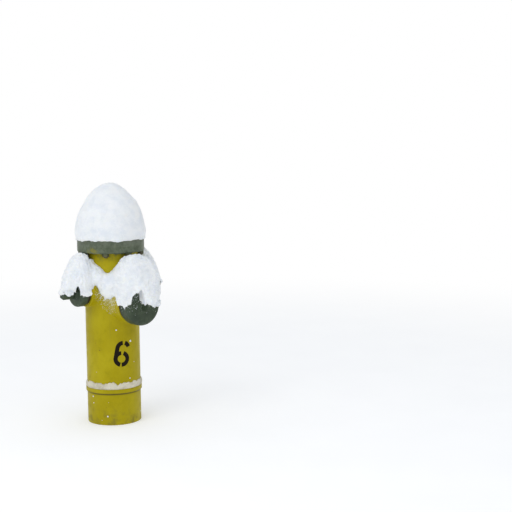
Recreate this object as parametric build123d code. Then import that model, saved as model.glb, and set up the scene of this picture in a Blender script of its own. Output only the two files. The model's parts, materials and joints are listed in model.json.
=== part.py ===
"""Dry-barrel compression fire hydrant, standing on its own valve base, with snow lying on it.

Frame: +Z up, origin at the centre of the base's underside. The pumper nozzle faces -Y and the
two hose nozzles face -X and +X. All sizes are in millimetres. Threads are drawn as plain
cylinders with ring grooves, a small clearance inside the bores that they screw into.
"""

from build123d import *

import os
from math import cos, pi, radians, sin, sqrt, tan

# ---- driving dimensions ---------------------------------------------------------------------
# barrel and base
BARREL_R = 114.0  # outside radius of the barrel and of the base
BARREL_WALL = 10.0
BASE_H = 133.0  # underside of the base to its joint with the barrel
BASE_WALL = 12.0
SOCKET_WALL = 7.9  # wall of the base around the barrel's screwed end
JOINT_GASKET_T = 2.0
COLLAR_LEDGE = 5.0  # how far the collar stands out from the barrel
COLLAR_H = 19.0
SPIGOT_WALL = 12.0
SPIGOT_LEN = 20.8  # screwed end of the barrel, below its collar
BARREL_LEN = 624.0  # joint gasket to the top face of the barrel

# bonnet joint
FLANGE_OUT = 27.5  # how far the flanges stand out from the barrel
BARREL_FLANGE_T = 27.0
BONNET_FLANGE_T = 28.0
FLANGE_BOLTS = 8
BOLT_R = 8.0
BOLT_HOLE_R = 8.75
HEX_AF = 24.0  # across flats of the bolt heads and nuts
BOLT_HEAD_H = 10.0
BOLT_NUT_H = 14.0
BOLT_SPARE = 4.0  # thread that shows below the nut
O_RING_R = 2.25  # section of the bonnet's O-ring

# bonnet and operating nut
DOME_R = 112.0
DOME_RISE = 85.0
DOME_WALL = 10.0
NECK_R = 46.0
NECK_H = 33.0
SHELF_T = 16.0
PLUG_R = 6.0
PLUG_AF = 14.0
SEAL_RIM_IN = 5.5  # the seal plate's rim, in from the barrel's outside
SEAL_PLATE_T = 6.0
SEAL_HUB_R = 30.0
SEAL_HUB_UP = 20.0
SEAL_HUB_DOWN = 14.0
STEM_RING_R = 1.5  # section of the stem's O-rings
HOLD_THREAD_R = 34.0
HOLD_AF = 72.0
HOLD_HEAD_H = 13.0
THRUST_WASHER_T = 2.0
THRUST_R = 31.0
THRUST_H = 10.0
NUT_SHANK_R = 21.0
NUT_SKIRT_R = 20.0
NUT_SKIRT_H = 48.0
NUT_CROWN = 13.0  # closed end of the nut above its bore
PENTAGON_H = 53.0
PENTAGON_POINT_TO_FLAT = 38.1  # the usual 1-1/2 in. hydrant wrench size
WEATHER_CAP_R = 46.0
WEATHER_CAP_H = 12.0
WEATHER_LIP = 4.0

# stem and main valve
STEM_R = 13.0
STEM_THREAD_R = 14.4
STEM_SQUARE = 26.0
STEM_FOOT_R = 12.5
SQUARE_LEN = 84.0
SLEEVE_R = 16.0
SLEEVE_LEN = 112.0
STOP_NUT_R = 24.0
STOP_NUT_H = 13.0
THREAD_LEAD = 6.35
OPENING_TURNS = 5.0
SEAT_R = 57.15  # 4-1/2 in. valve opening
SEAT_BEVEL = 6.0
SEAT_THREAD_R = 72.0
SEAT_FLANGE_R = 80.0
SEAT_FLANGE_T = 6.0
SEAT_Z = 84.0  # lower face of the seat ring
WEB_T = 20.0
VALVE_R = 64.0
VALVE_T = 24.5
UPPER_PLATE_R = 50.0
UPPER_PLATE_T = 9.5
UPPER_HUB_R = 20.0
UPPER_HUB_H = 18.0
LOWER_PLATE_R = 58.0
LOWER_PLATE_T = 12.0
LOCK_WASHER_T = 1.5
CAP_NUT_R = 20.0
CAP_NUT_H = 16.5
COUPLING_R = 23.0
COUPLING_LEN = 54.0
COUPLING_Z = 242.0  # where the two stems meet
PIN_R = 4.0
DRAIN_R = 4.0
FACING_H = 38.0
FACING_W = 14.0
FACING_T = 3.4

# inlet and mounting face
INLET_R = 50.8  # 4 in. waterway
INLET_LEN = 14.0
CHAMBER_WALL_H = 18.8  # straight wall of the valve chamber, above its flare
STUD_CIRCLE_R = 95.25  # 7-1/2 in. bolt circle
STUD_R = 7.94  # 5/8 in. studs
STUD_DEPTH = 22.0
STUDS = 8

# nozzles and caps: drop is from the barrel's top face down to the nozzle's axis, and reach is
# from the barrel's side out to the face of the boss
NOZZLE_GASKET_T = 1.5
BOSS_ROOT_R = 6.0  # fillet between a boss and the barrel
HUB_ROOT_R = 4.0  # fillet between a cap's face and its hub
PUMPER = dict(
    azimuth=-90, drop=240.0, bore=57.15, boss=81.0, reach=45.0, shank=70.0, collar=77.0,
    collar_len=10.5, thread=73.2, pitch=6.35, thread_len=40.0, tip=4.0, cap=84.0, cap_gap=3.0,
    seal=4.0, crown=9.0, edge=15.0, hub=30.0, hub_len=12.0, nut_len=33.0,
)
LEFT = dict(
    azimuth=180, drop=193.0, bore=31.75, boss=60.0, reach=26.0, shank=42.0, collar=50.0,
    collar_len=10.5, thread=38.95, pitch=3.387, thread_len=22.0, tip=4.0, cap=56.0, cap_gap=2.0,
    seal=3.5, crown=6.5, edge=11.0, hub=28.0, hub_len=10.0, nut_len=52.0,
)
RIGHT = dict(LEFT, azimuth=0)
NOZZLES = (PUMPER, LEFT, RIGHT)

# snow
SNOW_GAP = 0.4  # between snow and what it lies on
BONNET_SNOW = (  # its outside, from the top down: share of the flange's radius, height over it
    (0, 233), (0.21, 227), (0.33, 219), (0.55, 194), (0.71, 168), (0.81, 143), (0.92, 116),
    (0.98, 91), (1.03, 65), (1.07, 40), (1.06, 19),
)
# on the caps: the ridge of a mound, going in, as (distance out from the boss's face, height over
# the nozzle's axis), and half of its arch as (distance across, height)
HOSE_SNOW = ((117, 28), (111, 55), (98, 90), (79, 126), (54, 153), (34, 168), (12, 168))
HOSE_SNOW_SIDE = ((66, -12), (69, 20), (67, 60), (58, 102), (42, 142), (0, 172))
PUMPER_SNOW = ((121, 34), (117, 70), (106, 108), (88, 146), (65, 180), (38, 204), (14, 208),
               (-7, 203))
PUMPER_SNOW_SIDE = ((90, 12), (92, 50), (86, 100), (70, 152), (44, 190), (0, 209))
DRIFT_T = 30.0  # drift between the pumper and the left hose nozzle, out from the barrel
DRIFT_DROP = (211.0, 104.0)  # its foot and its top, below the barrel's top face
DRIFT_SPLIT = 217.5  # azimuth of the crack that divides it
COLLAR_SNOW_H = 34.0

# fits
RUN = 0.08  # clearance of a shaft that turns or slides, on the radius
FIT = 0.1  # clearance of screwed and stacked pieces
GROOVE = 0.8  # depth of the rings that stand for a thread

# ---- places that follow from them -------------------------------------------------------------
JOINT_Z = BASE_H + JOINT_GASKET_T
COLLAR_TOP = JOINT_Z + COLLAR_H
BARREL_BORE = BARREL_R - BARREL_WALL
SEAL_RIM_R = BARREL_R - SEAL_RIM_IN
BARREL_TOP = JOINT_Z + BARREL_LEN
for nozzle in NOZZLES:
    nozzle["z"] = BARREL_TOP - nozzle["drop"]
    nozzle["face"] = BARREL_R + nozzle["reach"]
FLANGE_LOW = BARREL_TOP - BARREL_FLANGE_T
FLANGE_R = BARREL_R + FLANGE_OUT
HEX_CORNER_R = HEX_AF / 2 / cos(pi / 6)
BOLT_CIRCLE_R = FLANGE_R - HEX_CORNER_R - 0.6
BONNET_TOP = BARREL_TOP + BONNET_FLANGE_T  # upper face of the bonnet's flange
NECK_TOP = BONNET_TOP + DOME_RISE + NECK_H
SHELF_LOW = BONNET_TOP + DOME_RISE - DOME_WALL
SHELF_TOP = SHELF_LOW + SHELF_T
THRUST_Z = SHELF_TOP + THRUST_WASHER_T + RUN
HOLD_Z = THRUST_Z + THRUST_H + RUN
HOLD_TOP = NECK_TOP + HOLD_HEAD_H
PENTAGON_Z = HOLD_TOP + 2.0 + WEATHER_CAP_H
PENTAGON_TOP = PENTAGON_Z + PENTAGON_H
PENTAGON_R = PENTAGON_POINT_TO_FLAT / (1 + cos(pi / 5))
TRAVEL = THREAD_LEAD * OPENING_TURNS
CHAMBER_R = BARREL_R - BASE_WALL
SOCKET_R = BARREL_R - SOCKET_WALL
SPIGOT_R = SOCKET_R - FIT
SPIGOT_BORE = SPIGOT_R - SPIGOT_WALL
SPIGOT_Z = JOINT_Z - SPIGOT_LEN
WEB_TOP = SEAT_Z + WEB_T
GUIDE_TOP = SPIGOT_Z - FIT
GUIDE_HUB_R = STEM_SQUARE / sqrt(2) + 7
GUIDE_HUB_Z = GUIDE_TOP + 34
GUIDE_HUB_H = 16.0
VALVE_TOP = SEAT_Z + SEAT_BEVEL - 1.5
PLATE_TOP = VALVE_TOP + UPPER_PLATE_T
SHOULDER_Z = PLATE_TOP + UPPER_HUB_H
VALVE_Z = VALVE_TOP - VALVE_T
LOWER_PLATE_Z = VALVE_Z - LOWER_PLATE_T
LOCK_WASHER_Z = LOWER_PLATE_Z - LOCK_WASHER_T
CAP_NUT_Z = LOCK_WASHER_Z - CAP_NUT_H
DRAIN_Z = SEAT_Z + SEAT_BEVEL + DRAIN_R
FACING_Z = DRAIN_Z + 2 * DRAIN_R
SEAL_HUB_TOP = BARREL_TOP + SEAL_PLATE_T + SEAL_HUB_UP
STOP_Z = SEAL_HUB_TOP + TRAVEL + 0.25
PIN_OFFSET = COUPLING_LEN / 4
PLUG_T = pi / 4  # where the oil plug sits on the dome's ellipse
SNOW_FLOOR = BONNET_TOP + SNOW_GAP
SWEEP_R = PENTAGON_R + SNOW_GAP  # what a turning wrench nut needs


# ---- helpers ----------------------------------------------------------------------------------
def turned(outline, rounds=()):
    """Solid of revolution about Z from (radius, height) corners; rounds holds (corner, radius)."""
    face = make_face(Polyline(*[(r, 0, z) for r, z in outline], close=True)).faces()[0]
    for corner, radius in rounds:
        r, z = outline[corner]
        vertex = face.vertices().sort_by_distance(Vector(r, 0, z))[0]
        face = face.fillet_2d(radius, [vertex])
    return revolve(face, Axis.Z)


def ring(inner, outer, low, high):
    """Plain ring about Z."""
    return turned([(inner, low), (outer, low), (outer, high), (inner, high)])


def rod(radius, low, high):
    """Plain cylinder about Z."""
    base = (Align.CENTER, Align.CENTER, Align.MIN)
    return Pos(0, 0, low) * Cylinder(radius, high - low, align=base)


def around(shape, count, first=0.0):
    """Copies of a shape, evenly spaced about Z."""
    return [Rot(0, 0, first + k * 360 / count) * shape for k in range(count)]


def hex_prism(across_flats, low, high):
    """Hexagonal prism about Z with one flat facing +X, its corners chamfered by a cone."""
    corner = across_flats / 2 / cos(pi / 6)
    flat = across_flats / 2
    slope = (corner - flat) * tan(radians(30))
    prism = Pos(0, 0, low) * Rot(0, 0, 30) * extrude(RegularPolygon(corner, 6), high - low)
    cone = turned(
        [(0, low), (flat, low), (corner + 1, low + slope), (corner + 1, high - slope),
         (flat, high), (0, high)]
    )
    return prism & cone


def pentagon_prism(low, high):
    """Five-sided wrench nut about Z, a little narrower at its top, its top edge rounded."""
    base = Pos(0, 0, low) * RegularPolygon(PENTAGON_R, 5)
    crown = Pos(0, 0, high) * RegularPolygon(PENTAGON_R - 0.8, 5)
    nut = loft([base.faces()[0], crown.faces()[0]])
    return fillet(nut.faces().sort_by(Axis.Z)[-1].edges(), 2.0)


def grooved(radius, low, high, pitch):
    """Outline points of a cylinder with ring grooves, from low up to high."""
    points = [(radius, low)]
    z = low + pitch / 2
    while z + pitch / 2 < high:
        top = z + pitch / 2
        points += [(radius, z), (radius - GROOVE, z + GROOVE)]
        points += [(radius - GROOVE, top - GROOVE / 2), (radius, top)]
        z += pitch
    return points + [(radius, high)]


def facing(nozzle):
    """Frame at the barrel's axis: its z runs out along a nozzle and its y is up."""
    a = radians(nozzle["azimuth"])
    return Plane(origin=(0, 0, nozzle["z"]), x_dir=(-sin(a), cos(a), 0), z_dir=(cos(a), sin(a), 0))


def bolt_ring(shape):
    """One copy of a shape at each flange bolt."""
    return around(Pos(BOLT_CIRCLE_R, 0, 0) * shape, FLANGE_BOLTS)


def side_plate(ridge, floor, inner, half_width):
    """Slab in a nozzle's frame: under a ridge of (out, up) points, above floor points."""
    line = Spline(*[(0, up, out) for out, up in ridge])
    rest = [line @ 1, (0, ridge[-1][1], inner)]
    rest += [(0, up, out) for out, up in floor] + [line @ 0]
    face = make_face([line, Polyline(*rest)])
    return extrude(face, half_width, dir=(1, 0, 0), both=True)


def end_plate(side, reach):
    """Slab in a nozzle's frame: the arch over (across, up) points, reach long."""
    right = Spline(*[(x, y, 0) for x, y in side])
    left = Spline(*[(-x, y, 0) for x, y in reversed(side)])
    foot = Polyline(left @ 1, right @ 0)
    return extrude(make_face([right, left, foot]), reach, dir=(0, 0, 1))


# ---- base, seat and guide ---------------------------------------------------------------------
def drain_bore():
    """Horizontal weep hole from the seat's bore out through the back of the base."""
    return Pos(0, SEAT_R - 8, DRAIN_Z) * Rot(-90, 0, 0) * rod(DRAIN_R, 0, BARREL_R)


def make_base():
    """Cast base with the inlet, the valve chamber and the web that carries the seat ring."""
    flare_top = SEAT_Z - CHAMBER_WALL_H
    body = turned(
        [(INLET_R, 0), (BARREL_R, 0), (BARREL_R, BASE_H), (SOCKET_R, BASE_H),
         (SOCKET_R, WEB_TOP), (SEAT_THREAD_R + FIT, WEB_TOP), (SEAT_THREAD_R + FIT, SEAT_Z),
         (CHAMBER_R, SEAT_Z), (CHAMBER_R, flare_top), (INLET_R, INLET_LEN)],
        [(1, 2.0), (7, 6.0)],
    )
    stud = Pos(STUD_CIRCLE_R, 0, 0) * rod(STUD_R, -1, STUD_DEPTH)
    body -= around(stud, STUDS, 180 / STUDS)
    return body - drain_bore()


def make_seat_ring():
    """Bronze seat, screwed into the base's web, with slots for the tool that turns it."""
    top = WEB_TOP + SEAT_FLANGE_T
    body = turned(
        [(SEAT_R + SEAT_BEVEL, SEAT_Z), (SEAT_THREAD_R, SEAT_Z), (SEAT_THREAD_R, WEB_TOP),
         (SEAT_FLANGE_R, WEB_TOP), (SEAT_FLANGE_R, top), (SEAT_R, top),
         (SEAT_R, SEAT_Z + SEAT_BEVEL)]
    )
    body -= around(Pos(SEAT_FLANGE_R, 0, top) * Box(16, 8, 5), 4, 45)
    return body - drain_bore()


def make_stem_guide():
    """Three-armed guide under the barrel; its square hole keeps the stem from turning."""
    rim = SEAT_FLANGE_R + 4
    outer = SOCKET_R - FIT
    hub_top = GUIDE_HUB_Z + GUIDE_HUB_H
    arm = make_face(
        Polyline(
            (rim + 2, 0, WEB_TOP), (outer - 4, 0, WEB_TOP), (outer - 4, 0, GUIDE_TOP),
            (SPIGOT_BORE - 2, 0, GUIDE_TOP), (SPIGOT_BORE - 2, 0, GUIDE_TOP + 6),
            (GUIDE_HUB_R + 14, 0, hub_top), (GUIDE_HUB_R - 4, 0, hub_top),
            (GUIDE_HUB_R - 4, 0, GUIDE_HUB_Z), (GUIDE_HUB_R + 10, 0, GUIDE_HUB_Z),
            (rim + 2, 0, GUIDE_TOP - 2), close=True,
        )
    )
    guide = ring(rim, outer, WEB_TOP, GUIDE_TOP) + rod(GUIDE_HUB_R, GUIDE_HUB_Z, hub_top)
    guide += around(extrude(arm, 6, dir=(0, 1, 0), both=True), 3, 30)
    width = STEM_SQUARE + 2 * FIT
    return guide - Pos(0, 0, GUIDE_HUB_Z) * Box(width, width, 4 * GUIDE_HUB_H)


# ---- barrel -----------------------------------------------------------------------------------
def make_barrel():
    """Upper barrel with its screwed end, collar, nozzle bosses and top flange."""
    ledge = BARREL_R + COLLAR_LEDGE
    shell = turned(
        [(0, SPIGOT_Z), (SPIGOT_R, SPIGOT_Z), (SPIGOT_R, JOINT_Z), (ledge, JOINT_Z),
         (ledge, COLLAR_TOP), (BARREL_R, COLLAR_TOP), (BARREL_R, FLANGE_LOW),
         (FLANGE_R, FLANGE_LOW), (FLANGE_R, BARREL_TOP), (0, BARREL_TOP)],
        [(3, 2.0), (4, 3.0), (7, 6.0), (6, 0.8)],
    )
    for n in NOZZLES:
        boss = rod(n["boss"], BARREL_R / 2, n["face"])
        boss = fillet(boss.faces().sort_by(Axis.Z)[-1].edges(), 3.0)
        shell += facing(n) * boss
    shell = fillet([e for e in shell.edges() if is_boss_root(e)], BOSS_ROOT_R)
    shell -= turned(
        [(0, SPIGOT_Z - 1), (SPIGOT_BORE, SPIGOT_Z - 1), (SPIGOT_BORE, COLLAR_TOP),
         (BARREL_BORE, COLLAR_TOP + 12), (BARREL_BORE, BARREL_TOP + 1), (0, BARREL_TOP + 1)]
    )
    for n in NOZZLES:
        shell -= facing(n) * rod(n["shank"] + FIT, BARREL_R / 3, n["face"] + 5)
        shell -= facing(n) * lock_screw(n, FIT)
    shell -= bolt_ring(rod(BOLT_HOLE_R, FLANGE_LOW - 1, BARREL_TOP + 1))
    return shell - ring(*o_ring_groove(), BARREL_TOP - 2 * O_RING_R - FIT, BARREL_TOP + 1)


def is_boss_root(edge):
    """True for the curves where the nozzle bosses meet the barrel's side."""
    if edge.geom_type in (GeomType.LINE, GeomType.CIRCLE):
        return False
    spots = [edge @ t for t in (0.1, 0.45, 0.8)]
    return all(abs(sqrt(p.X**2 + p.Y**2) - BARREL_R) < 0.5 for p in spots)


def o_ring_groove():
    """Inner and outer radius of the groove in the barrel's top face."""
    middle = (SEAL_RIM_R + BOLT_CIRCLE_R - BOLT_HOLE_R) / 2
    half = O_RING_R + 0.5
    return middle - half, middle + half


def make_bonnet_o_ring():
    """O-ring in the groove of the barrel's top face."""
    inner, outer = o_ring_groove()
    return Pos(0, 0, BARREL_TOP - O_RING_R - FIT / 2) * Torus((inner + outer) / 2, O_RING_R)


def make_barrel_gasket():
    """Ring between the base and the barrel's collar."""
    return ring(SOCKET_R, BARREL_R, BASE_H, JOINT_Z)


# ---- nozzles and caps -------------------------------------------------------------------------
def stations(n):
    """Distances out of a nozzle's collar, thread, end, cap rim, cap floor and cap face."""
    collar = n["face"] + NOZZLE_GASKET_T
    thread = collar + n["collar_len"]
    end = thread + n["thread_len"] + n["tip"]
    floor = end + n["seal"]
    return collar, thread, end, thread + n["cap_gap"], floor, floor + n["crown"]


def lock_screw(n, clearance=0.0):
    """Set screw in the underside of a boss, in the nozzle's frame."""
    body = rod(4 + clearance, n["shank"] + FIT - clearance, n["boss"] - 1 + 3 * clearance)
    return Pos(0, 0, n["face"] - 12) * Rot(90, 0, 0) * body


def make_lock_screws():
    """The set screws that stop the nozzles from unscrewing, each with a hexagon socket."""
    screws = []
    for n in NOZZLES:
        socket = extrude(RegularPolygon(2.3, 6), 5)
        socket = Pos(0, 0, n["boss"] - 5) * socket
        socket = Pos(0, 0, n["face"] - 12) * Rot(90, 0, 0) * socket
        screws.append(facing(n) * (lock_screw(n) - socket))
    return Compound(children=[Part(s.wrapped) for s in screws])


def make_nozzle(n):
    """Bronze nozzle: a shank screwed into the boss, a collar, and the hose thread."""
    collar, thread, end, *_ = stations(n)
    inside = BARREL_BORE - 4
    outline = [(n["bore"], inside), (n["shank"], inside), (n["shank"], collar)]
    outline += [(n["collar"], collar), (n["collar"], thread)]
    outline += grooved(n["thread"], thread, end - n["tip"], n["pitch"])
    outline += [(n["thread"] - 2.5, end), (n["bore"], end)]
    return facing(n) * turned(outline)


def make_nozzle_gasket(n):
    """Flat ring between a boss and its nozzle's collar."""
    return facing(n) * ring(n["shank"] + FIT, n["collar"], n["face"], stations(n)[0])


def make_cap(n):
    """Cast cap: a cup over the nozzle's thread, with a five-sided wrench nut on its crown."""
    _, _, _, rim, floor, crown = stations(n)
    bore = n["thread"] + RUN
    hub_top = crown + n["hub_len"]
    cup = turned(
        [(0, floor), (bore, floor), (bore, rim), (n["cap"], rim), (n["cap"], crown),
         (n["hub"], crown), (PENTAGON_R + 1.5, hub_top), (0, hub_top)],
        [(3, 2.5), (4, n["edge"]), (5, HUB_ROOT_R)],
    )
    return facing(n) * (cup + pentagon_prism(hub_top - 1, hub_top + n["nut_len"]))


def make_cap_gasket(n):
    """Rubber washer between a nozzle's end and its cap's floor."""
    _, _, end, _, floor, _ = stations(n)
    return facing(n) * ring(n["bore"] + 2, n["thread"] - 1, end + RUN, floor - RUN)


# ---- bonnet and operating nut -----------------------------------------------------------------
def dome(neck, foot, rise, low, high):
    """Solid dome about Z: a quarter ellipse from foot up to neck, straight above and below."""
    section = Plane(origin=(neck, 0, BONNET_TOP), x_dir=(1, 0, 0), z_dir=(0, -1, 0))
    curve = section * EllipticalCenterArc((0, 0), foot - neck, rise, 0, arc_size=90)
    corners = [curve @ 0, (foot, 0, low), (0, 0, low), (0, 0, high)]
    if high > (curve @ 1).Z + 0.01:
        corners.append((neck, 0, high))
    return revolve(make_face([curve, Polyline(*corners, curve @ 1)]), Axis.Z)


def at_plug():
    """Frame on the back of the dome, its z along the dome's normal."""
    wide = DOME_R - NECK_R
    out = NECK_R + wide * cos(PLUG_T)
    up = BONNET_TOP + DOME_RISE * sin(PLUG_T)
    normal = (0, cos(PLUG_T) / wide, sin(PLUG_T) / DOME_RISE)
    return Plane(origin=(0, out, up), x_dir=(1, 0, 0), z_dir=normal)


def make_bonnet():
    """Bonnet: flange, dome that holds the oil, and neck that carries the operating nut."""
    plate_top = BARREL_TOP + SEAL_PLATE_T + FIT
    bonnet = dome(NECK_R, DOME_R, DOME_RISE, BARREL_TOP, NECK_TOP)
    bonnet += turned(
        [(0, BARREL_TOP), (FLANGE_R, BARREL_TOP), (FLANGE_R, BONNET_TOP), (0, BONNET_TOP)],
        [(2, 5.0)],
    )
    bonnet += at_plug() * rod(PLUG_R + 5, -6, 2)
    bonnet -= dome(
        NECK_R - DOME_WALL, DOME_R - DOME_WALL, DOME_RISE - DOME_WALL, plate_top, SHELF_LOW
    )
    bonnet -= rod(SEAL_RIM_R + FIT, BARREL_TOP - 1, plate_top)
    bonnet -= rod(NUT_SKIRT_R + RUN, SHELF_LOW - 1, SHELF_TOP + 1)
    bonnet -= rod(HOLD_THREAD_R + FIT, SHELF_TOP, NECK_TOP + 1)
    bonnet -= at_plug() * rod(PLUG_R + FIT, -24, 3)
    return bonnet - bolt_ring(rod(BOLT_HOLE_R, BARREL_TOP - 1, BONNET_TOP + 1))


def make_oil_plug():
    """Hexagon-headed plug in the oil filling hole."""
    return at_plug() * (rod(PLUG_R, -9, 3) + hex_prism(PLUG_AF, 2, 8))


def make_bolts():
    """Bonnet bolts, heads up."""
    low = FLANGE_LOW - BOLT_NUT_H - BOLT_SPARE
    outline = [(0, low), (BOLT_R - 1.5, low), (BOLT_R, low + 1.5), (BOLT_R, BONNET_TOP + 1)]
    shank = turned(outline + [(0, BONNET_TOP + 1)])
    bolt = shank + hex_prism(HEX_AF, BONNET_TOP, BONNET_TOP + BOLT_HEAD_H)
    return Compound(children=[Part(b.wrapped) for b in bolt_ring(bolt)])


def make_bolt_nuts():
    """Nuts of the bonnet bolts, under the barrel's flange."""
    nut = hex_prism(HEX_AF, FLANGE_LOW - BOLT_NUT_H, FLANGE_LOW) - rod(
        BOLT_R + FIT, FLANGE_LOW - BOLT_NUT_H - 1, FLANGE_LOW + 1
    )
    return Compound(children=[Part(b.wrapped) for b in bolt_ring(nut)])


def stem_ring_places():
    """Heights of the two O-ring grooves in the seal plate's hub."""
    middle = (SEAL_HUB_TOP + BARREL_TOP - SEAL_HUB_DOWN) / 2
    return middle - 9, middle + 9


def make_seal_plate():
    """Plate clamped under the bonnet: it holds the oil in, and its hub seals the stem."""
    low = BARREL_TOP - SEAL_HUB_DOWN
    top = BARREL_TOP + SEAL_PLATE_T
    bore = SLEEVE_R + RUN
    plate = turned(
        [(bore, low), (SEAL_HUB_R, low), (SEAL_HUB_R, BARREL_TOP), (SEAL_RIM_R, BARREL_TOP),
         (SEAL_RIM_R, top), (SEAL_HUB_R, top), (SEAL_HUB_R, SEAL_HUB_TOP), (bore, SEAL_HUB_TOP)]
    )
    half = STEM_RING_R + 0.2
    depth = bore + 2 * STEM_RING_R + FIT
    for z in stem_ring_places():
        plate -= ring(bore - 1, depth, z - half, z + half)
    return plate


def make_stem_o_rings():
    """The two O-rings around the stem's sleeve."""
    radius = SLEEVE_R + RUN + STEM_RING_R
    rings = [Pos(0, 0, z) * Torus(radius, STEM_RING_R) for z in stem_ring_places()]
    return Compound(children=[Part(r.wrapped) for r in rings])


def make_thrust_washer():
    """Washer under the operating nut's thrust collar."""
    return ring(NUT_SKIRT_R + 1, THRUST_R + 2, SHELF_TOP, SHELF_TOP + THRUST_WASHER_T)


def make_operating_nut():
    """Operating nut: threaded skirt, thrust collar, shank and five-sided wrench end."""
    body = turned(
        [(0, THRUST_Z - NUT_SKIRT_H), (NUT_SKIRT_R, THRUST_Z - NUT_SKIRT_H),
         (NUT_SKIRT_R, THRUST_Z), (THRUST_R, THRUST_Z), (THRUST_R, THRUST_Z + THRUST_H),
         (NUT_SHANK_R, THRUST_Z + THRUST_H), (NUT_SHANK_R, PENTAGON_Z), (0, PENTAGON_Z)]
    )
    body += pentagon_prism(PENTAGON_Z - 1, PENTAGON_TOP)
    bore = rod(STEM_THREAD_R + RUN, THRUST_Z - NUT_SKIRT_H - 1, PENTAGON_TOP - NUT_CROWN)
    return body - bore


def make_hold_down_nut():
    """Nut screwed into the bonnet's neck; it keeps the operating nut down."""
    body = rod(HOLD_THREAD_R, HOLD_Z, NECK_TOP) + hex_prism(HOLD_AF, NECK_TOP, HOLD_TOP)
    return body - rod(NUT_SHANK_R + RUN, HOLD_Z - 1, HOLD_TOP + 1)


def make_weather_cap():
    """Rain shield that turns with the operating nut, its lip around the hold-down nut."""
    low = PENTAGON_Z - WEATHER_CAP_H
    inner = WEATHER_CAP_R - WEATHER_LIP + 1
    return turned(
        [(NUT_SHANK_R + FIT, low), (inner, low), (inner, low - WEATHER_LIP),
         (WEATHER_CAP_R, low - WEATHER_LIP), (WEATHER_CAP_R, PENTAGON_Z - 5),
         (WEATHER_CAP_R - 8, PENTAGON_Z), (NUT_SHANK_R + FIT, PENTAGON_Z)],
        [(4, 3.0)],
    )


# ---- stem and main valve ----------------------------------------------------------------------
def coupling_pin(clearance=0.0):
    """One cross pin of the stem coupling, along X."""
    length = 2 * COUPLING_R + 2 + 2 * clearance
    return Rot(0, 90, 0) * Cylinder(PIN_R + clearance, length)


def pin_holes():
    """What the two cross pins take out of the stems and the coupling."""
    return [Pos(0, 0, COUPLING_Z + k * PIN_OFFSET) * coupling_pin(FIT) for k in (-1, 1)]


def make_upper_stem():
    """Stem from the coupling up into the operating nut."""
    top = PENTAGON_TOP - NUT_CROWN - 7
    outline = [(0, COUPLING_Z + FIT), (STEM_R, COUPLING_Z + FIT), (STEM_R, STOP_Z)]
    outline += grooved(STEM_THREAD_R, STOP_Z, top - 3, THREAD_LEAD)
    outline += [(STEM_THREAD_R - 3, top), (0, top)]
    return turned(outline) - pin_holes()


def make_lower_stem():
    """Stem from the valve up to the coupling, with the square that runs in the guide."""
    square_top = SHOULDER_Z + SQUARE_LEN
    stem = rod(STEM_FOOT_R, CAP_NUT_Z + 4 + FIT, SHOULDER_Z + 1)
    square = extrude(Rectangle(STEM_SQUARE, STEM_SQUARE), SQUARE_LEN)
    square = chamfer(square.edges().filter_by(Axis.Z), 1.0)
    stem += Pos(0, 0, SHOULDER_Z) * square
    stem += rod(STEM_R, square_top - 1, COUPLING_Z - FIT)
    return stem - pin_holes()


def make_stem_coupling():
    """Sleeve that joins the two stems."""
    half = COUPLING_LEN / 2
    body = ring(STEM_R + FIT, COUPLING_R, COUPLING_Z - half, COUPLING_Z + half)
    return body - pin_holes()


def make_coupling_pins():
    """The two cross pins of the coupling."""
    pins = [Pos(0, 0, COUPLING_Z + k * PIN_OFFSET) * coupling_pin() for k in (-1, 1)]
    return Compound(children=[Part(p.wrapped) for p in pins])


def make_stem_sleeve():
    """Bronze sleeve where the stem passes the seal plate."""
    return ring(STEM_R + FIT, SLEEVE_R, STOP_Z - SLEEVE_LEN, STOP_Z)


def make_stop_nut():
    """Nut on the stem that meets the seal plate's hub when the valve is fully open."""
    body = hex_prism(2 * STOP_NUT_R * cos(pi / 6), STOP_Z, STOP_Z + STOP_NUT_H)
    return body - rod(STEM_THREAD_R + FIT, STOP_Z - 1, STOP_Z + STOP_NUT_H + 1)


def make_upper_valve_plate():
    """Plate above the valve rubber, with the arm that carries the drain facing."""
    arm_out = SEAT_R - RUN - FACING_T
    arm_top = FACING_Z + FACING_H
    plate = rod(UPPER_PLATE_R, VALVE_TOP, PLATE_TOP) + rod(UPPER_HUB_R, VALVE_TOP, SHOULDER_Z)
    arm = Pos(0, arm_out - 5, (VALVE_TOP + arm_top) / 2) * Box(FACING_W + 2, 10, arm_top - VALVE_TOP)
    rib = make_face(
        Polyline(
            (0, UPPER_HUB_R - 3, PLATE_TOP - 1), (0, arm_out - 6, PLATE_TOP - 1),
            (0, arm_out - 6, arm_top - 8), (0, UPPER_HUB_R - 3, SHOULDER_Z - 2), close=True,
        )
    )
    plate += arm + extrude(rib, 3, dir=(1, 0, 0), both=True)
    return plate - rod(STEM_FOOT_R + FIT, VALVE_TOP - 1, SHOULDER_Z + 1)


def make_drain_facing():
    """Rubber facing that covers the weep hole while the valve is open."""
    inner = SEAT_R - RUN - FACING_T
    block = Pos(0, inner + FACING_T / 2, FACING_Z + FACING_H / 2) * Box(
        FACING_W, FACING_T, FACING_H
    )
    return block & rod(SEAT_R - RUN, FACING_Z - 1, FACING_Z + FACING_H + 1)


def make_main_valve():
    """Valve rubber, bevelled like its seat."""
    bevel = SEAT_R + SEAT_BEVEL + SEAT_Z - 0.45
    hole = STEM_FOOT_R + FIT
    return turned(
        [(hole, VALVE_Z), (VALVE_R, VALVE_Z), (VALVE_R, bevel - VALVE_R),
         (bevel - VALVE_TOP, VALVE_TOP), (hole, VALVE_TOP)]
    )


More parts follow.
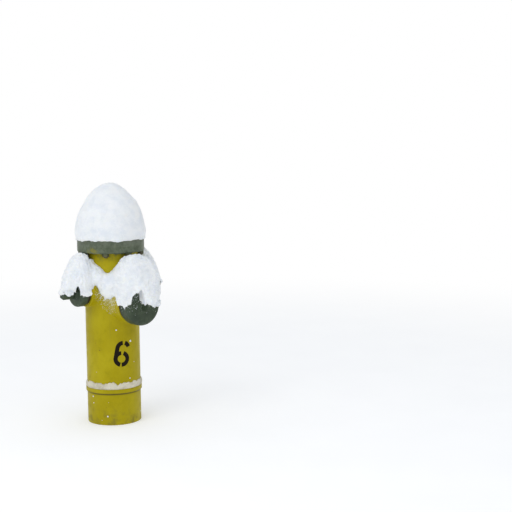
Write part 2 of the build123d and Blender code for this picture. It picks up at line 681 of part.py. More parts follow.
def make_lower_valve_plate():
    """Plate under the valve rubber."""
    hole = STEM_FOOT_R + FIT
    return turned(
        [(hole, LOWER_PLATE_Z), (LOWER_PLATE_R - 18, LOWER_PLATE_Z), (LOWER_PLATE_R, VALVE_Z - 3),
         (LOWER_PLATE_R, VALVE_Z), (hole, VALVE_Z)]
    )


def make_lock_washer():
    """Washer between the lower plate and its cap nut."""
    return ring(STEM_FOOT_R + FIT, CAP_NUT_R + 3, LOCK_WASHER_Z, LOWER_PLATE_Z)


def make_cap_nut():
    """Closed nut on the stem's foot."""
    body = hex_prism(2 * CAP_NUT_R * cos(pi / 6), CAP_NUT_Z, LOCK_WASHER_Z)
    return body - rod(STEM_FOOT_R + FIT, CAP_NUT_Z + 4, LOCK_WASHER_Z + 1)


# ---- snow -------------------------------------------------------------------------------------
def make_bonnet_snow():
    """Heap over the bonnet, hollow where the bonnet, bolts and turning nut are."""
    curve = Spline(*[(share * FLANGE_R, 0, BONNET_TOP + up) for share, up in BONNET_SNOW])
    corners = [curve @ 1, (FLANGE_R - 2, 0, SNOW_FLOOR), (0, 0, SNOW_FLOOR), curve @ 0]
    snow = revolve(make_face([curve, Polyline(*corners)]), Axis.Z)
    gap = SNOW_GAP
    snow -= dome(
        NECK_R + gap, DOME_R + gap, DOME_RISE + gap, BONNET_TOP - 1, PENTAGON_Z + gap
    )
    snow -= rod(SWEEP_R, PENTAGON_Z, PENTAGON_TOP + gap)
    snow -= at_plug() * rod(PLUG_R + 5 + gap, -6, 8 + gap)
    head = rod(HEX_CORNER_R + gap, BONNET_TOP - 1, BONNET_TOP + BOLT_HEAD_H + gap)
    return snow - bolt_ring(head)


def cap_hollow(n):
    """What a cap's snow leaves free, in the nozzle's frame: boss, collar, cap and wrench nut."""
    *_, crown = stations(n)
    gap = SNOW_GAP
    boss = n["boss"] + gap
    cap = n["cap"] + gap
    hub = n["hub"] + HUB_ROOT_R + gap
    hub_top = crown + n["hub_len"]
    return turned(
        [(0, 0), (boss, 0), (boss, n["face"] + gap), (cap, n["face"] + gap), (cap, crown + gap),
         (hub, crown + gap), (hub, hub_top + gap),
         (SWEEP_R, hub_top + gap), (SWEEP_R, hub_top + n["nut_len"] + gap),
         (0, hub_top + n["nut_len"] + gap)]
    )


def barrel_hollow(n):
    """What snow leaves free of the barrel, the root of a boss, and the bolts above."""
    nut_low = FLANGE_LOW - BOLT_NUT_H - BOLT_SPARE - SNOW_GAP
    root = BOSS_ROOT_R + SNOW_GAP
    body = rod(BARREL_R + SNOW_GAP, 0, BARREL_TOP)
    body += rod(FLANGE_R + SNOW_GAP, nut_low, BARREL_TOP)
    body += rod(BARREL_R + root, 0, BARREL_TOP) & (facing(n) * rod(n["boss"] + root, 0, FLANGE_R))
    return body


def drift(n):
    """Half of the drift that fills the valley between the pumper and the left hose nozzle."""
    low, high = [BARREL_TOP - drop for drop in DRIFT_DROP]
    block = ring(BARREL_R - 2, BARREL_R + DRIFT_T, low, high)
    start = DRIFT_SPLIT - 32 if n is LEFT else DRIFT_SPLIT + 0.15
    reach = 31.85
    sweep = [(0, 0)] + [
        (400 * cos(radians(start + reach * k / 4)), 400 * sin(radians(start + reach * k / 4)))
        for k in range(5)
    ]
    wedge = Pos(0, 0, low - 1) * extrude(make_face(Polyline(*sweep, close=True)), high - low + 2)
    return block & wedge


def make_cap_snow(n, ridge, side, foot):
    """Snow over a nozzle and its cap; it stays upright when the cap turns."""
    *_, crown = stations(n)
    hub_top = crown + n["hub_len"]
    nut_end = hub_top + n["nut_len"]
    ridge = [(n["face"] + out, up) for out, up in ridge]
    floor = [(BARREL_R, foot), (crown + 1, foot), (hub_top, 14), (nut_end + 1, 16)]
    snow = side_plate(ridge, floor, BARREL_R - 6, 120)
    snow &= end_plate(side, nut_end + 20)
    snow = facing(n) * snow
    if n is not RIGHT:
        snow += drift(n)
    snow -= facing(n) * cap_hollow(n)
    snow -= [barrel_hollow(m) for m in NOZZLES]
    return max(snow.solids(), key=lambda s: s.volume)


def make_collar_snow():
    """Thin ring of old snow on the collar's ledge."""
    inner = BARREL_R + SNOW_GAP
    low = COLLAR_TOP + SNOW_GAP
    high = COLLAR_TOP + COLLAR_SNOW_H
    return turned(
        [(inner, low), (inner + 5, low), (inner + 8.5, low + 8), (inner + 8, high - 14),
         (inner + 5, high - 3), (inner, high)]
    )


# ---- parts ------------------------------------------------------------------------------------
PARTS = {
    "valve_base": make_base(),
    "seat_ring": make_seat_ring(),
    "stem_guide": make_stem_guide(),
    "barrel_gasket": make_barrel_gasket(),
    "upper_barrel": make_barrel(),
    "bonnet_o_ring": make_bonnet_o_ring(),
    "nozzle_lock_screws": make_lock_screws(),
    "pumper_nozzle": make_nozzle(PUMPER),
    "left_nozzle": make_nozzle(LEFT),
    "right_nozzle": make_nozzle(RIGHT),
    "pumper_nozzle_gasket": make_nozzle_gasket(PUMPER),
    "left_nozzle_gasket": make_nozzle_gasket(LEFT),
    "right_nozzle_gasket": make_nozzle_gasket(RIGHT),
    "pumper_cap": make_cap(PUMPER),
    "left_cap": make_cap(LEFT),
    "right_cap": make_cap(RIGHT),
    "pumper_cap_gasket": make_cap_gasket(PUMPER),
    "left_cap_gasket": make_cap_gasket(LEFT),
    "right_cap_gasket": make_cap_gasket(RIGHT),
    "bonnet": make_bonnet(),
    "oil_plug": make_oil_plug(),
    "bonnet_bolts": make_bolts(),
    "bonnet_nuts": make_bolt_nuts(),
    "seal_plate": make_seal_plate(),
    "stem_o_rings": make_stem_o_rings(),
    "thrust_washer": make_thrust_washer(),
    "operating_nut": make_operating_nut(),
    "hold_down_nut": make_hold_down_nut(),
    "weather_cap": make_weather_cap(),
    "upper_stem": make_upper_stem(),
    "lower_stem": make_lower_stem(),
    "stem_coupling": make_stem_coupling(),
    "coupling_pins": make_coupling_pins(),
    "stem_sleeve": make_stem_sleeve(),
    "stop_nut": make_stop_nut(),
    "upper_valve_plate": make_upper_valve_plate(),
    "drain_facing": make_drain_facing(),
    "main_valve": make_main_valve(),
    "lower_valve_plate": make_lower_valve_plate(),
    "valve_lock_washer": make_lock_washer(),
    "valve_cap_nut": make_cap_nut(),
    "bonnet_snow": make_bonnet_snow(),
    "pumper_cap_snow": make_cap_snow(PUMPER, PUMPER_SNOW, PUMPER_SNOW_SIDE, 12),
    "left_cap_snow": make_cap_snow(LEFT, HOSE_SNOW, HOSE_SNOW_SIDE, -12),
    "right_cap_snow": make_cap_snow(RIGHT, HOSE_SNOW, HOSE_SNOW_SIDE, -12),
    "collar_snow": make_collar_snow(),
}

os.makedirs("parts", exist_ok=True)
for name, part in PARTS.items():
    export_step(part, f"parts/{name}.step")
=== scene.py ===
"""Looks of the fire hydrant: cast iron in yellow and grey-green paint, bronze, rubber and snow."""

import json
import math
import random

import bmesh
import bpy
from mathutils import Matrix, Vector, noise


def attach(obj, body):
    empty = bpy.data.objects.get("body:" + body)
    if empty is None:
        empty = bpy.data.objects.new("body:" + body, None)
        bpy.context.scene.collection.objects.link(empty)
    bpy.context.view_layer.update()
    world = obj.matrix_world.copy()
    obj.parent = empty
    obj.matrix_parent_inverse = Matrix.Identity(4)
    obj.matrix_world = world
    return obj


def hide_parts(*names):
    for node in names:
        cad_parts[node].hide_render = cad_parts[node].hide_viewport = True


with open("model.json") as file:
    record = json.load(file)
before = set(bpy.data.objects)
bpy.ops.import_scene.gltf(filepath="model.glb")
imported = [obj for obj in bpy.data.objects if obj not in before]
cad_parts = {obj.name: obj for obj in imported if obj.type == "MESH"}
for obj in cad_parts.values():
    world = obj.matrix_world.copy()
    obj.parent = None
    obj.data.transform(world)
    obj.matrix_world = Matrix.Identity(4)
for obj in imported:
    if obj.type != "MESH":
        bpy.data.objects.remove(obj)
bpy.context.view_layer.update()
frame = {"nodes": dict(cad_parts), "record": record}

# ---- sizes shared with the solids, in metres --------------------------------------------------
BARREL_R = 0.114
FLANGE_R = 0.1415
COLLAR_TOP = 0.154
FLANGE_LOW = 0.732
NUT_LOW = 0.714
BONNET_TOP = 0.787
SNOW_GAP = 0.0005
PENTAGON_R = 0.0211
SEAM_LOW = 0.127
SEAM_HIGH = 0.140
FOOT_DIRT = 0.10
CRACK_HALF = 0.0002

PUMPER = dict(azimuth=-90, z=0.519, boss=0.081, face=0.159, cap=0.084, crown=0.228, hub=0.030,
              hub_top=0.240, nut_end=0.273)
LEFT = dict(azimuth=180, z=0.566, boss=0.060, face=0.140, cap=0.056, crown=0.188, hub=0.028,
            hub_top=0.198, nut_end=0.250)
RIGHT = dict(LEFT, azimuth=0)
VALLEY_SPLIT = math.radians(217.5)

# ---- small helpers for node trees -------------------------------------------------------------


def add(tree, kind, values=None, **settings):
    """A node with its settings made and its inputs given a number or linked to a socket."""
    made = tree.nodes.new(kind)
    for name, value in settings.items():
        setattr(made, name, value)
    for key, value in (values or {}).items():
        if isinstance(value, bpy.types.NodeSocket):
            tree.links.new(value, made.inputs[key])
        else:
            made.inputs[key].default_value = value
    return made


def calc(tree, operation, first, second=0.0, third=0.0):
    """Output of a Math node."""
    made = add(tree, "ShaderNodeMath", {0: first, 1: second, 2: third}, operation=operation)
    return made.outputs[0]


def ramp(tree, value, low, high, first=0.0, last=1.0):
    """Value carried from low..high to first..last with a smooth ease at both ends."""
    made = add(
        tree, "ShaderNodeMapRange",
        {"Value": value, "From Min": low, "From Max": high, "To Min": first, "To Max": last},
        interpolation_type="SMOOTHSTEP",
    )
    return made.outputs["Result"]


def speckle(tree, where, scale, detail=3.0, rough=0.55):
    """Output of a noise texture at a place."""
    made = add(
        tree, "ShaderNodeTexNoise",
        {"Vector": where, "Scale": scale, "Detail": detail, "Roughness": rough},
    )
    return made.outputs["Fac"]


def tint(tree, amount, first, second):
    """Colour between two colours."""
    made = add(tree, "ShaderNodeMix", data_type="RGBA")
    for key, value in ((0, amount), (6, first), (7, second)):
        if isinstance(value, bpy.types.NodeSocket):
            tree.links.new(value, made.inputs[key])
        else:
            made.inputs[key].default_value = value
    return made.outputs[2]


def group(name, inputs, outputs):
    """An empty shader node group; each socket is (name, type, default)."""
    tree = bpy.data.node_groups.new(name, "ShaderNodeTree")
    for label, kind, default in inputs:
        made = tree.interface.new_socket(label, in_out="INPUT", socket_type=kind)
        made.default_value = default
    for label, kind in outputs:
        tree.interface.new_socket(label, in_out="OUTPUT", socket_type=kind)
    return tree, add(tree, "NodeGroupInput"), add(tree, "NodeGroupOutput")


def use(tree, shared, **values):
    """A shared group placed in a material."""
    made = tree.nodes.new("ShaderNodeGroup")
    made.node_tree = shared
    for key, value in values.items():
        socket = made.inputs[key.replace("_", " ")]
        if isinstance(value, bpy.types.NodeSocket):
            tree.links.new(value, socket)
        else:
            socket.default_value = value
    return made


# ---- effects shared by the finishes -----------------------------------------------------------
FLOAT = "NodeSocketFloat"


def make_casting_skin():
    """Height of a sand-cast face under paint: sand grain, soft hollows and brushed-on ridges."""
    tree, inlet, outlet = group(
        "casting_skin", [("Grain", FLOAT, 1.0), ("Waves", FLOAT, 1.0)], [("Height", FLOAT)]
    )
    where = add(tree, "ShaderNodeTexCoord").outputs["Object"]
    sand = speckle(tree, where, 420.0, 3.0, 0.6)
    pits = ramp(tree, speckle(tree, where, 160.0, 2.0), 0.62, 0.75)
    hollows = speckle(tree, where, 28.0, 2.0, 0.5)
    stretched = add(tree, "ShaderNodeMapping", {"Vector": where, "Scale": (1.0, 1.0, 0.12)})
    brush = speckle(tree, stretched.outputs["Vector"], 150.0, 2.0, 0.5)
    fine = calc(tree, "MULTIPLY", calc(tree, "SUBTRACT", sand, pits), inlet.outputs["Grain"])
    broad = calc(tree, "MULTIPLY_ADD", brush, 0.35, hollows)
    broad = calc(tree, "MULTIPLY", broad, inlet.outputs["Waves"])
    total = calc(tree, "MULTIPLY_ADD", fine, 0.25, broad)
    tree.links.new(total, outlet.inputs["Height"])
    return tree


def make_chips():
    """Mask of small chips and scratches where paint has come away."""
    tree, inlet, outlet = group(
        "paint_chips", [("Amount", FLOAT, 0.5), ("Size", FLOAT, 1.0)],
        [("Chips", FLOAT), ("Rim", FLOAT)],
    )
    where = add(tree, "ShaderNodeTexCoord").outputs["Object"]
    scale = calc(tree, "DIVIDE", 70.0, inlet.outputs["Size"])
    blot = speckle(tree, where, scale, 5.0, 0.62)
    cut = calc(tree, "MULTIPLY_ADD", inlet.outputs["Amount"], -0.22, 0.80)
    over = calc(tree, "SUBTRACT", blot, cut)
    tree.links.new(ramp(tree, over, 0.0, 0.006), outlet.inputs["Chips"])
    tree.links.new(ramp(tree, over, -0.016, 0.0), outlet.inputs["Rim"])
    return tree


def make_streaks():
    """Mask of run marks that water has left down a wall."""
    tree, inlet, outlet = group(
        "water_streaks", [("Fineness", FLOAT, 40.0)], [("Streaks", FLOAT)]
    )
    where = add(tree, "ShaderNodeTexCoord").outputs["Object"]
    drawn = add(tree, "ShaderNodeMapping", {"Vector": where, "Scale": (1.0, 1.0, 0.045)})
    lines = speckle(tree, drawn.outputs["Vector"], inlet.outputs["Fineness"], 3.0, 0.6)
    fade = speckle(tree, where, 9.0, 2.0)
    both = calc(tree, "MULTIPLY", ramp(tree, lines, 0.48, 0.72), ramp(tree, fade, 0.35, 0.65))
    tree.links.new(both, outlet.inputs["Streaks"])
    return tree


def make_frost():
    """Loose grains of snow, fewer as the amount falls."""
    tree, inlet, outlet = group(
        "frost_grains", [("Amount", FLOAT, 0.0)], [("Mask", FLOAT), ("Height", FLOAT)]
    )
    where = add(tree, "ShaderNodeTexCoord").outputs["Object"]
    patchy = ramp(tree, speckle(tree, where, 55.0, 3.0, 0.7), 0.38, 0.62, 0.45, 1.35)
    amount = calc(tree, "MULTIPLY", inlet.outputs["Amount"], patchy)
    masks, heights = [], []
    for scale, size in ((190.0, 0.44), (330.0, 0.46), (560.0, 0.48)):
        cells = add(tree, "ShaderNodeTexVoronoi", {"Vector": where, "Scale": scale})
        chance = add(tree, "ShaderNodeSeparateColor", {"Color": cells.outputs["Color"]})
        radius = ramp(tree, chance.outputs["Green"], 0.0, 1.0, size * 0.45, size)
        dome = calc(tree, "SUBTRACT", radius, cells.outputs["Distance"])
        present = calc(tree, "LESS_THAN", chance.outputs["Red"], amount)
        masks.append(calc(tree, "MULTIPLY", ramp(tree, dome, 0.0, 0.10), present))
        heights.append(calc(tree, "MULTIPLY", calc(tree, "MAXIMUM", dome, 0.0), present))
    full = ramp(tree, amount, 0.85, 1.0)
    mask = calc(tree, "MAXIMUM", masks[0], calc(tree, "MAXIMUM", masks[1], masks[2]))
    tree.links.new(calc(tree, "MAXIMUM", mask, full), outlet.inputs["Mask"])
    high = calc(tree, "MAXIMUM", heights[0], calc(tree, "MAXIMUM", heights[1], heights[2]))
    tree.links.new(high, outlet.inputs["Height"])
    return tree


CASTING = make_casting_skin()
CHIPS = make_chips()
STREAKS = make_streaks()
FROST = make_frost()

# ---- finishes ---------------------------------------------------------------------------------


def finish(name):
    """A material with its tree, its shader and its object coordinates."""
    made = bpy.data.materials.new(name)
    made.use_nodes = True
    tree = made.node_tree
    shader = tree.nodes["Principled BSDF"]
    where = add(tree, "ShaderNodeTexCoord").outputs["Object"]
    return made, tree, shader, where


def raise_bump(tree, shader, height, distance, strength=1.0):
    """Puts a height on a shader's normal."""
    bump = add(
        tree, "ShaderNodeBump",
        {"Height": height, "Distance": distance, "Strength": strength},
    )
    tree.links.new(bump.outputs["Normal"], shader.inputs["Normal"])


def plain(red, green, blue):
    """Colour with full alpha."""
    return (red, green, blue, 1.0)


SNOW_WHITE = plain(0.86, 0.90, 0.95)
YELLOW = plain(0.375, 0.306, 0.001)
YELLOW_PALE = plain(0.44, 0.368, 0.006)
YELLOW_GREEN = plain(0.25, 0.225, 0.002)
GREEN_GREY = plain(0.082, 0.103, 0.066)
# Darker grey-green for the caps: partly the paint's own tone, partly painted shade from the snow
# heaped above them.
CAP_GREEN_SHADED = plain(0.026, 0.044, 0.022)
PRIMER = plain(0.12, 0.055, 0.03)
BARE_IRON = plain(0.05, 0.042, 0.038)
RIM_PATCH = (FLANGE_R * math.cos(3.52), FLANGE_R * math.sin(3.52), 0.733)


def patch(tree, where, centre, reach):
    """One near a point, falling to nothing at its reach."""
    far = add(
        tree, "ShaderNodeVectorMath", {0: where, 1: centre}, operation="DISTANCE"
    ).outputs["Value"]
    return ramp(tree, far, 0.0, reach, 1.0, 0.0)


def barrel_point(azimuth, z):
    """Point on the barrel's side."""
    a = math.radians(azimuth)
    return (BARREL_R * math.cos(a), BARREL_R * math.sin(a), z)


def make_yellow_paint():
    """Barrel and base: yellow gloss over cast iron, its top rim brushed over with grey-green."""
    made, tree, shader, where = finish("yellow_paint")
    split = add(tree, "ShaderNodeSeparateXYZ", {"Vector": where})
    height = split.outputs["Z"]
    cloud = speckle(tree, where, 7.0, 4.0, 0.6)
    blotch = speckle(tree, where, 34.0, 4.0, 0.6)
    colour = tint(tree, ramp(tree, cloud, 0.35, 0.7), YELLOW, YELLOW_PALE)
    colour = tint(tree, ramp(tree, blotch, 0.52, 0.80, 0.0, 0.45), colour, YELLOW_GREEN)
    streaks = use(tree, STREAKS, Fineness=46.0).outputs["Streaks"]
    colour = tint(tree, calc(tree, "MULTIPLY", streaks, 0.22), colour, plain(0.20, 0.17, 0.02))
    edge = speckle(tree, where, 38.0, 4.0, 0.7)
    worn = ramp(tree, speckle(tree, where, 15.0, 3.0, 0.6), 0.56, 0.66, 0.0, 0.007)
    rim_line = calc(tree, "MULTIPLY_ADD", edge, 0.020, -0.0065)
    rim_line = calc(tree, "SUBTRACT", rim_line, worn)
    above = calc(tree, "SUBTRACT", height, calc(tree, "SUBTRACT", FLANGE_LOW, rim_line))
    rim = ramp(tree, above, -0.0012, 0.0012)
    bare = calc(tree, "MULTIPLY", patch(tree, where, RIM_PATCH, 0.034), 3.0)
    bare = calc(tree, "MULTIPLY", calc(tree, "MINIMUM", bare, 1.0), ramp(tree, edge, 0.45, 0.60))
    rim = calc(tree, "MULTIPLY_ADD", bare, -0.75, rim)
    mist = calc(tree, "MULTIPLY", ramp(tree, above, -0.040, 0.0), ramp(tree, edge, 0.40, 0.66))
    colour = tint(tree, calc(tree, "MULTIPLY", mist, 0.62), colour, plain(0.10, 0.12, 0.03))
    coat = green_tone(tree, where, GREEN_GREY, plain(0.145, 0.172, 0.120))
    colour = tint(tree, rim, colour, coat)
    splashed = ramp(tree, blotch, 0.42, 0.68)
    foot = calc(tree, "MULTIPLY", ramp(tree, height, FOOT_DIRT, 0.0), splashed)
    colour = tint(tree, calc(tree, "MULTIPLY", foot, 0.45), colour, plain(0.09, 0.075, 0.04))
    # Dark band around the joint of barrel and base: the dark joint itself, widened by painted shade
    # of the gap under the collar's rim.
    seam_shade_top = ramp(tree, height, SEAM_HIGH, SEAM_HIGH - 0.004)
    seam_joint_and_shade = calc(tree, "MULTIPLY", ramp(tree, height, SEAM_LOW, SEAM_LOW + 0.005), seam_shade_top)
    colour = tint(tree, calc(tree, "MULTIPLY", seam_joint_and_shade, 0.55), colour, plain(0.07, 0.06, 0.02))
    chips = use(tree, CHIPS, Amount=0.42, Size=1.0)
    colour = tint(tree, calc(tree, "MULTIPLY", chips.outputs["Rim"], 0.35), colour, YELLOW_PALE)
    colour = tint(tree, chips.outputs["Chips"], colour, PRIMER)
    dusted = patch(tree, where, barrel_point(243, 0.545), 0.085)
    dusted = calc(tree, "MAXIMUM", dusted, patch(tree, where, barrel_point(218, 0.560), 0.050))
    frost = use(tree, FROST, Amount=calc(tree, "MULTIPLY", dusted, 1.15))
    colour = tint(tree, frost.outputs["Mask"], colour, SNOW_WHITE)
    tree.links.new(colour, shader.inputs["Base Color"])
    shader.inputs["Specular IOR Level"].default_value = 0.13
    rough = ramp(tree, blotch, 0.3, 0.7, 0.36, 0.52)
    rough = calc(tree, "MULTIPLY_ADD", chips.outputs["Chips"], 0.35, rough)
    rough = calc(tree, "MULTIPLY_ADD", frost.outputs["Mask"], 0.35, rough)
    tree.links.new(rough, shader.inputs["Roughness"])
    skin = use(tree, CASTING, Grain=0.8, Waves=1.0).outputs["Height"]
    skin = calc(tree, "MULTIPLY_ADD", chips.outputs["Chips"], -0.5, skin)
    skin = calc(tree, "MULTIPLY_ADD", frost.outputs["Height"], 3.0, skin)
    raise_bump(tree, shader, skin, 0.0011)
    return made


def green_tone(tree, where, dark, light):
    """Uneven grey-green coat, lighter where it has chalked."""
    cloud = speckle(tree, where, 16.0, 4.0, 0.62)
    fine = speckle(tree, where, 95.0, 3.0, 0.6)
    mixed = calc(tree, "MULTIPLY_ADD", fine, 0.35, calc(tree, "MULTIPLY", cloud, 0.75))
    return tint(tree, ramp(tree, mixed, 0.42, 0.70), dark, light)


def make_green_paint(name, dark, light, yellow=0.0):
    """Bonnet, caps and rain shield: grey-green paint, chalky, with old yellow showing through."""
    made, tree, shader, where = finish(name)
    colour = green_tone(tree, where, dark, light)
    under = ramp(tree, speckle(tree, where, 52.0, 5.0, 0.65), 0.60, 0.70)
    colour = tint(tree, calc(tree, "MULTIPLY", under, yellow), colour, plain(0.19, 0.19, 0.02))
    streaks = use(tree, STREAKS, Fineness=60.0).outputs["Streaks"]
    colour = tint(tree, calc(tree, "MULTIPLY", streaks, 0.25), colour, plain(0.03, 0.04, 0.03))
    chips = use(tree, CHIPS, Amount=0.50, Size=0.7)
    colour = tint(tree, calc(tree, "MULTIPLY", chips.outputs["Rim"], 0.4), colour, light)
    colour = tint(tree, chips.outputs["Chips"], colour, BARE_IRON)
    tree.links.new(colour, shader.inputs["Base Color"])
    rough = ramp(tree, speckle(tree, where, 40.0, 3.0), 0.3, 0.7, 0.42, 0.60)
    tree.links.new(rough, shader.inputs["Roughness"])
    shader.inputs["Specular IOR Level"].default_value = 0.35
    skin = use(tree, CASTING, Grain=1.1, Waves=1.1).outputs["Height"]
    skin = calc(tree, "MULTIPLY_ADD", chips.outputs["Chips"], -0.5, skin)
    raise_bump(tree, shader, skin, 0.0012)
    return made


def make_cap_paint(name, centre_z, reach):
    """Cap paint: the grey-green made darker, partly its own tone and partly painted shade of the
    snow above the caps, with grains of snow clinging to its upper half.
    """
    made = make_green_paint(name, CAP_GREEN_SHADED, plain(0.052, 0.076, 0.042), 0.15)
    tree = made.node_tree
    shader = tree.nodes["Principled BSDF"]
    where = add(tree, "ShaderNodeTexCoord").outputs["Object"]
    height = add(tree, "ShaderNodeSeparateXYZ", {"Vector": where}).outputs["Z"]
    dusted = ramp(tree, height, centre_z + 0.006, centre_z + 2.2 * reach, 0.0, 0.80)
    stray = ramp(tree, height, centre_z - reach, centre_z + reach, 0.0, 0.10)
    frost = use(tree, FROST, Amount=calc(tree, "MAXIMUM", dusted, stray))
    old_colour = shader.inputs["Base Color"].links[0].from_socket
    tree.links.new(
        tint(tree, frost.outputs["Mask"], old_colour, SNOW_WHITE), shader.inputs["Base Color"]
    )
    bump = shader.inputs["Normal"].links[0].from_node
    skin = bump.inputs["Height"].links[0].from_socket
    total = calc(tree, "MULTIPLY_ADD", frost.outputs["Height"], 3.0, skin)
    tree.links.new(total, bump.inputs["Height"])
    return made


def make_bronze(name, stain_and_shade=0.5, dark=plain(0.30, 0.17, 0.06), light=plain(0.42, 0.27, 0.11)):
    """Cast bronze with a brown skin and dirt in its hollows; where the stain is strong, the
    darkening also stands for painted shade.
    """
    made, tree, shader, where = finish(name)
    patina = speckle(tree, where, 30.0, 4.0, 0.65)
    fine = speckle(tree, where, 210.0, 3.0, 0.6)
    colour = tint(tree, ramp(tree, fine, 0.3, 0.7), dark, light)
    dirt_and_shade = calc(tree, "MULTIPLY", ramp(tree, patina, 0.34, 0.58), stain_and_shade)
    colour = tint(tree, dirt_and_shade, colour, plain(0.035, 0.030, 0.018))
    tree.links.new(colour, shader.inputs["Base Color"])
    tree.links.new(ramp(tree, patina, 0.45, 0.7, 0.92, 0.35), shader.inputs["Metallic"])
    tree.links.new(ramp(tree, patina, 0.35, 0.7, 0.28, 0.55), shader.inputs["Roughness"])
    skin = use(tree, CASTING, Grain=0.5, Waves=0.5).outputs["Height"]
    raise_bump(tree, shader, skin, 0.0005)
    return made


def make_turned_steel():
    """Stems and pins: turned steel with fine rings, a film of oil and a little rust."""
    made, tree, shader, where = finish("turned_steel")
    rings = add(tree, "ShaderNodeMapping", {"Vector": where, "Scale": (0.05, 0.05, 1.0)})
    lines = speckle(tree, rings.outputs["Vector"], 900.0, 2.0, 0.5)
    rust = ramp(tree, speckle(tree, where, 45.0, 5.0, 0.7), 0.58, 0.72)
    colour = tint(tree, lines, plain(0.28, 0.28, 0.29), plain(0.46, 0.46, 0.47))
    colour = tint(tree, calc(tree, "MULTIPLY", rust, 0.7), colour, plain(0.16, 0.06, 0.02))
    tree.links.new(colour, shader.inputs["Base Color"])
    tree.links.new(calc(tree, "MULTIPLY_ADD", rust, -0.8, 0.95), shader.inputs["Metallic"])
    tree.links.new(calc(tree, "MULTIPLY_ADD", rust, 0.35, 0.30), shader.inputs["Roughness"])
    raise_bump(tree, shader, lines, 0.00012)
    return made


def make_bolt_finish():
    """Bonnet bolts and nuts: plated steel gone dull, caught by brushed paint and rust."""
    made, tree, shader, where = finish("bolt_finish")
    height = add(tree, "ShaderNodeSeparateXYZ", {"Vector": where}).outputs["Z"]
    cloud = speckle(tree, where, 80.0, 4.0, 0.65)
    grime = ramp(tree, cloud, 0.35, 0.65)
    colour = tint(tree, grime, plain(0.05, 0.05, 0.035), plain(0.16, 0.15, 0.07))
    rust = ramp(tree, speckle(tree, where, 120.0, 4.0, 0.7), 0.52, 0.66)
    colour = tint(tree, calc(tree, "MULTIPLY", rust, 0.7), colour, plain(0.13, 0.05, 0.018))
    painted = ramp(tree, height, FLANGE_LOW - 0.012, FLANGE_LOW - 0.002)
    painted = calc(tree, "MULTIPLY", painted, ramp(tree, cloud, 0.38, 0.52))
    colour = tint(tree, painted, colour, plain(0.10, 0.12, 0.06))
    tree.links.new(colour, shader.inputs["Base Color"])
    tree.links.new(calc(tree, "MULTIPLY_ADD", rust, -0.3, 0.45), shader.inputs["Metallic"])
    tree.links.new(ramp(tree, cloud, 0.3, 0.7, 0.45, 0.75), shader.inputs["Roughness"])
    raise_bump(tree, shader, cloud, 0.0008)
    return made


def make_bare_iron():
    """Valve plates and cap nut: bare cast iron, wet and rusted."""
    made, tree, shader, where = finish("bare_iron")
    rust = speckle(tree, where, 60.0, 5.0, 0.7)
    colour = tint(tree, ramp(tree, rust, 0.35, 0.65), BARE_IRON, plain(0.15, 0.06, 0.025))
    tree.links.new(colour, shader.inputs["Base Color"])
    tree.links.new(ramp(tree, rust, 0.3, 0.7, 0.45, 0.85), shader.inputs["Roughness"])
    skin = use(tree, CASTING, Grain=1.6, Waves=1.0).outputs["Height"]
    raise_bump(tree, shader, skin, 0.0012)
    return made


def make_rubber():
    """Gaskets and the valve's facing: black rubber with a grey bloom."""
    made, tree, shader, where = finish("black_rubber")
    bloom = speckle(tree, where, 70.0, 4.0, 0.6)
    dusty = ramp(tree, bloom, 0.45, 0.75)
    colour = tint(tree, dusty, plain(0.012, 0.012, 0.012), plain(0.05, 0.05, 0.048))
    tree.links.new(colour, shader.inputs["Base Color"])
    tree.links.new(ramp(tree, bloom, 0.3, 0.7, 0.55, 0.80), shader.inputs["Roughness"])
    raise_bump(tree, shader, speckle(tree, where, 600.0, 2.0), 0.0002)
    return made


def make_snow_finish(name, bright, shade, coarse):
    """Settled snow: granular, softly lit from within, a little blue in its hollows."""
    made, tree, shader, where = finish(name)
    broad = speckle(tree, where, 22.0, 4.0, 0.6)
    grain = speckle(tree, where, 260.0, 4.0, 0.7)
    clods = speckle(tree, where, 75.0, 4.0, 0.65)
    tone = calc(tree, "MULTIPLY_ADD", grain, 0.35, calc(tree, "MULTIPLY", broad, 0.7))
    colour = tint(tree, ramp(tree, tone, 0.38, 0.62), shade, bright)
    tree.links.new(colour, shader.inputs["Base Color"])
    tree.links.new(ramp(tree, grain, 0.35, 0.65, 0.55, 0.95), shader.inputs["Roughness"])
    shader.inputs["Subsurface Weight"].default_value = 0.35
    shader.inputs["Subsurface Radius"].default_value = (1.0, 1.1, 1.3)
    shader.inputs["Subsurface Scale"].default_value = 0.006
    shader.inputs["Specular IOR Level"].default_value = 0.3
    cells = add(tree, "ShaderNodeTexVoronoi", {"Vector": where, "Scale": 420.0})
    height = calc(tree, "MULTIPLY_ADD", cells.outputs["Distance"], -0.35, grain)
    height = calc(tree, "MULTIPLY_ADD", clods, coarse, height)
    raise_bump(tree, shader, height, 0.0022, 0.8)
    return made


def make_stencil_paint():
    """The numeral: thin black paint with a broken, slightly soft edge."""
    made, tree, shader, where = finish("stencil_paint")
    worn = speckle(tree, where, 300.0, 4.0, 0.7)
    thin = ramp(tree, worn, 0.3, 0.7)
    colour = tint(tree, thin, plain(0.006, 0.004, 0.002), plain(0.016, 0.011, 0.004))
    shader.inputs["Specular IOR Level"].default_value = 0.12
    rubbed = ramp(tree, speckle(tree, where, 190.0, 4.0, 0.75), 0.66, 0.72)
    colour = tint(tree, rubbed, colour, plain(0.20, 0.16, 0.015))
    tree.links.new(colour, shader.inputs["Base Color"])
    tree.links.new(ramp(tree, worn, 0.3, 0.7, 0.55, 0.75), shader.inputs["Roughness"])
    raise_bump(tree, shader, use(tree, CASTING, Grain=0.8, Waves=1.0).outputs["Height"], 0.0009)
    return made


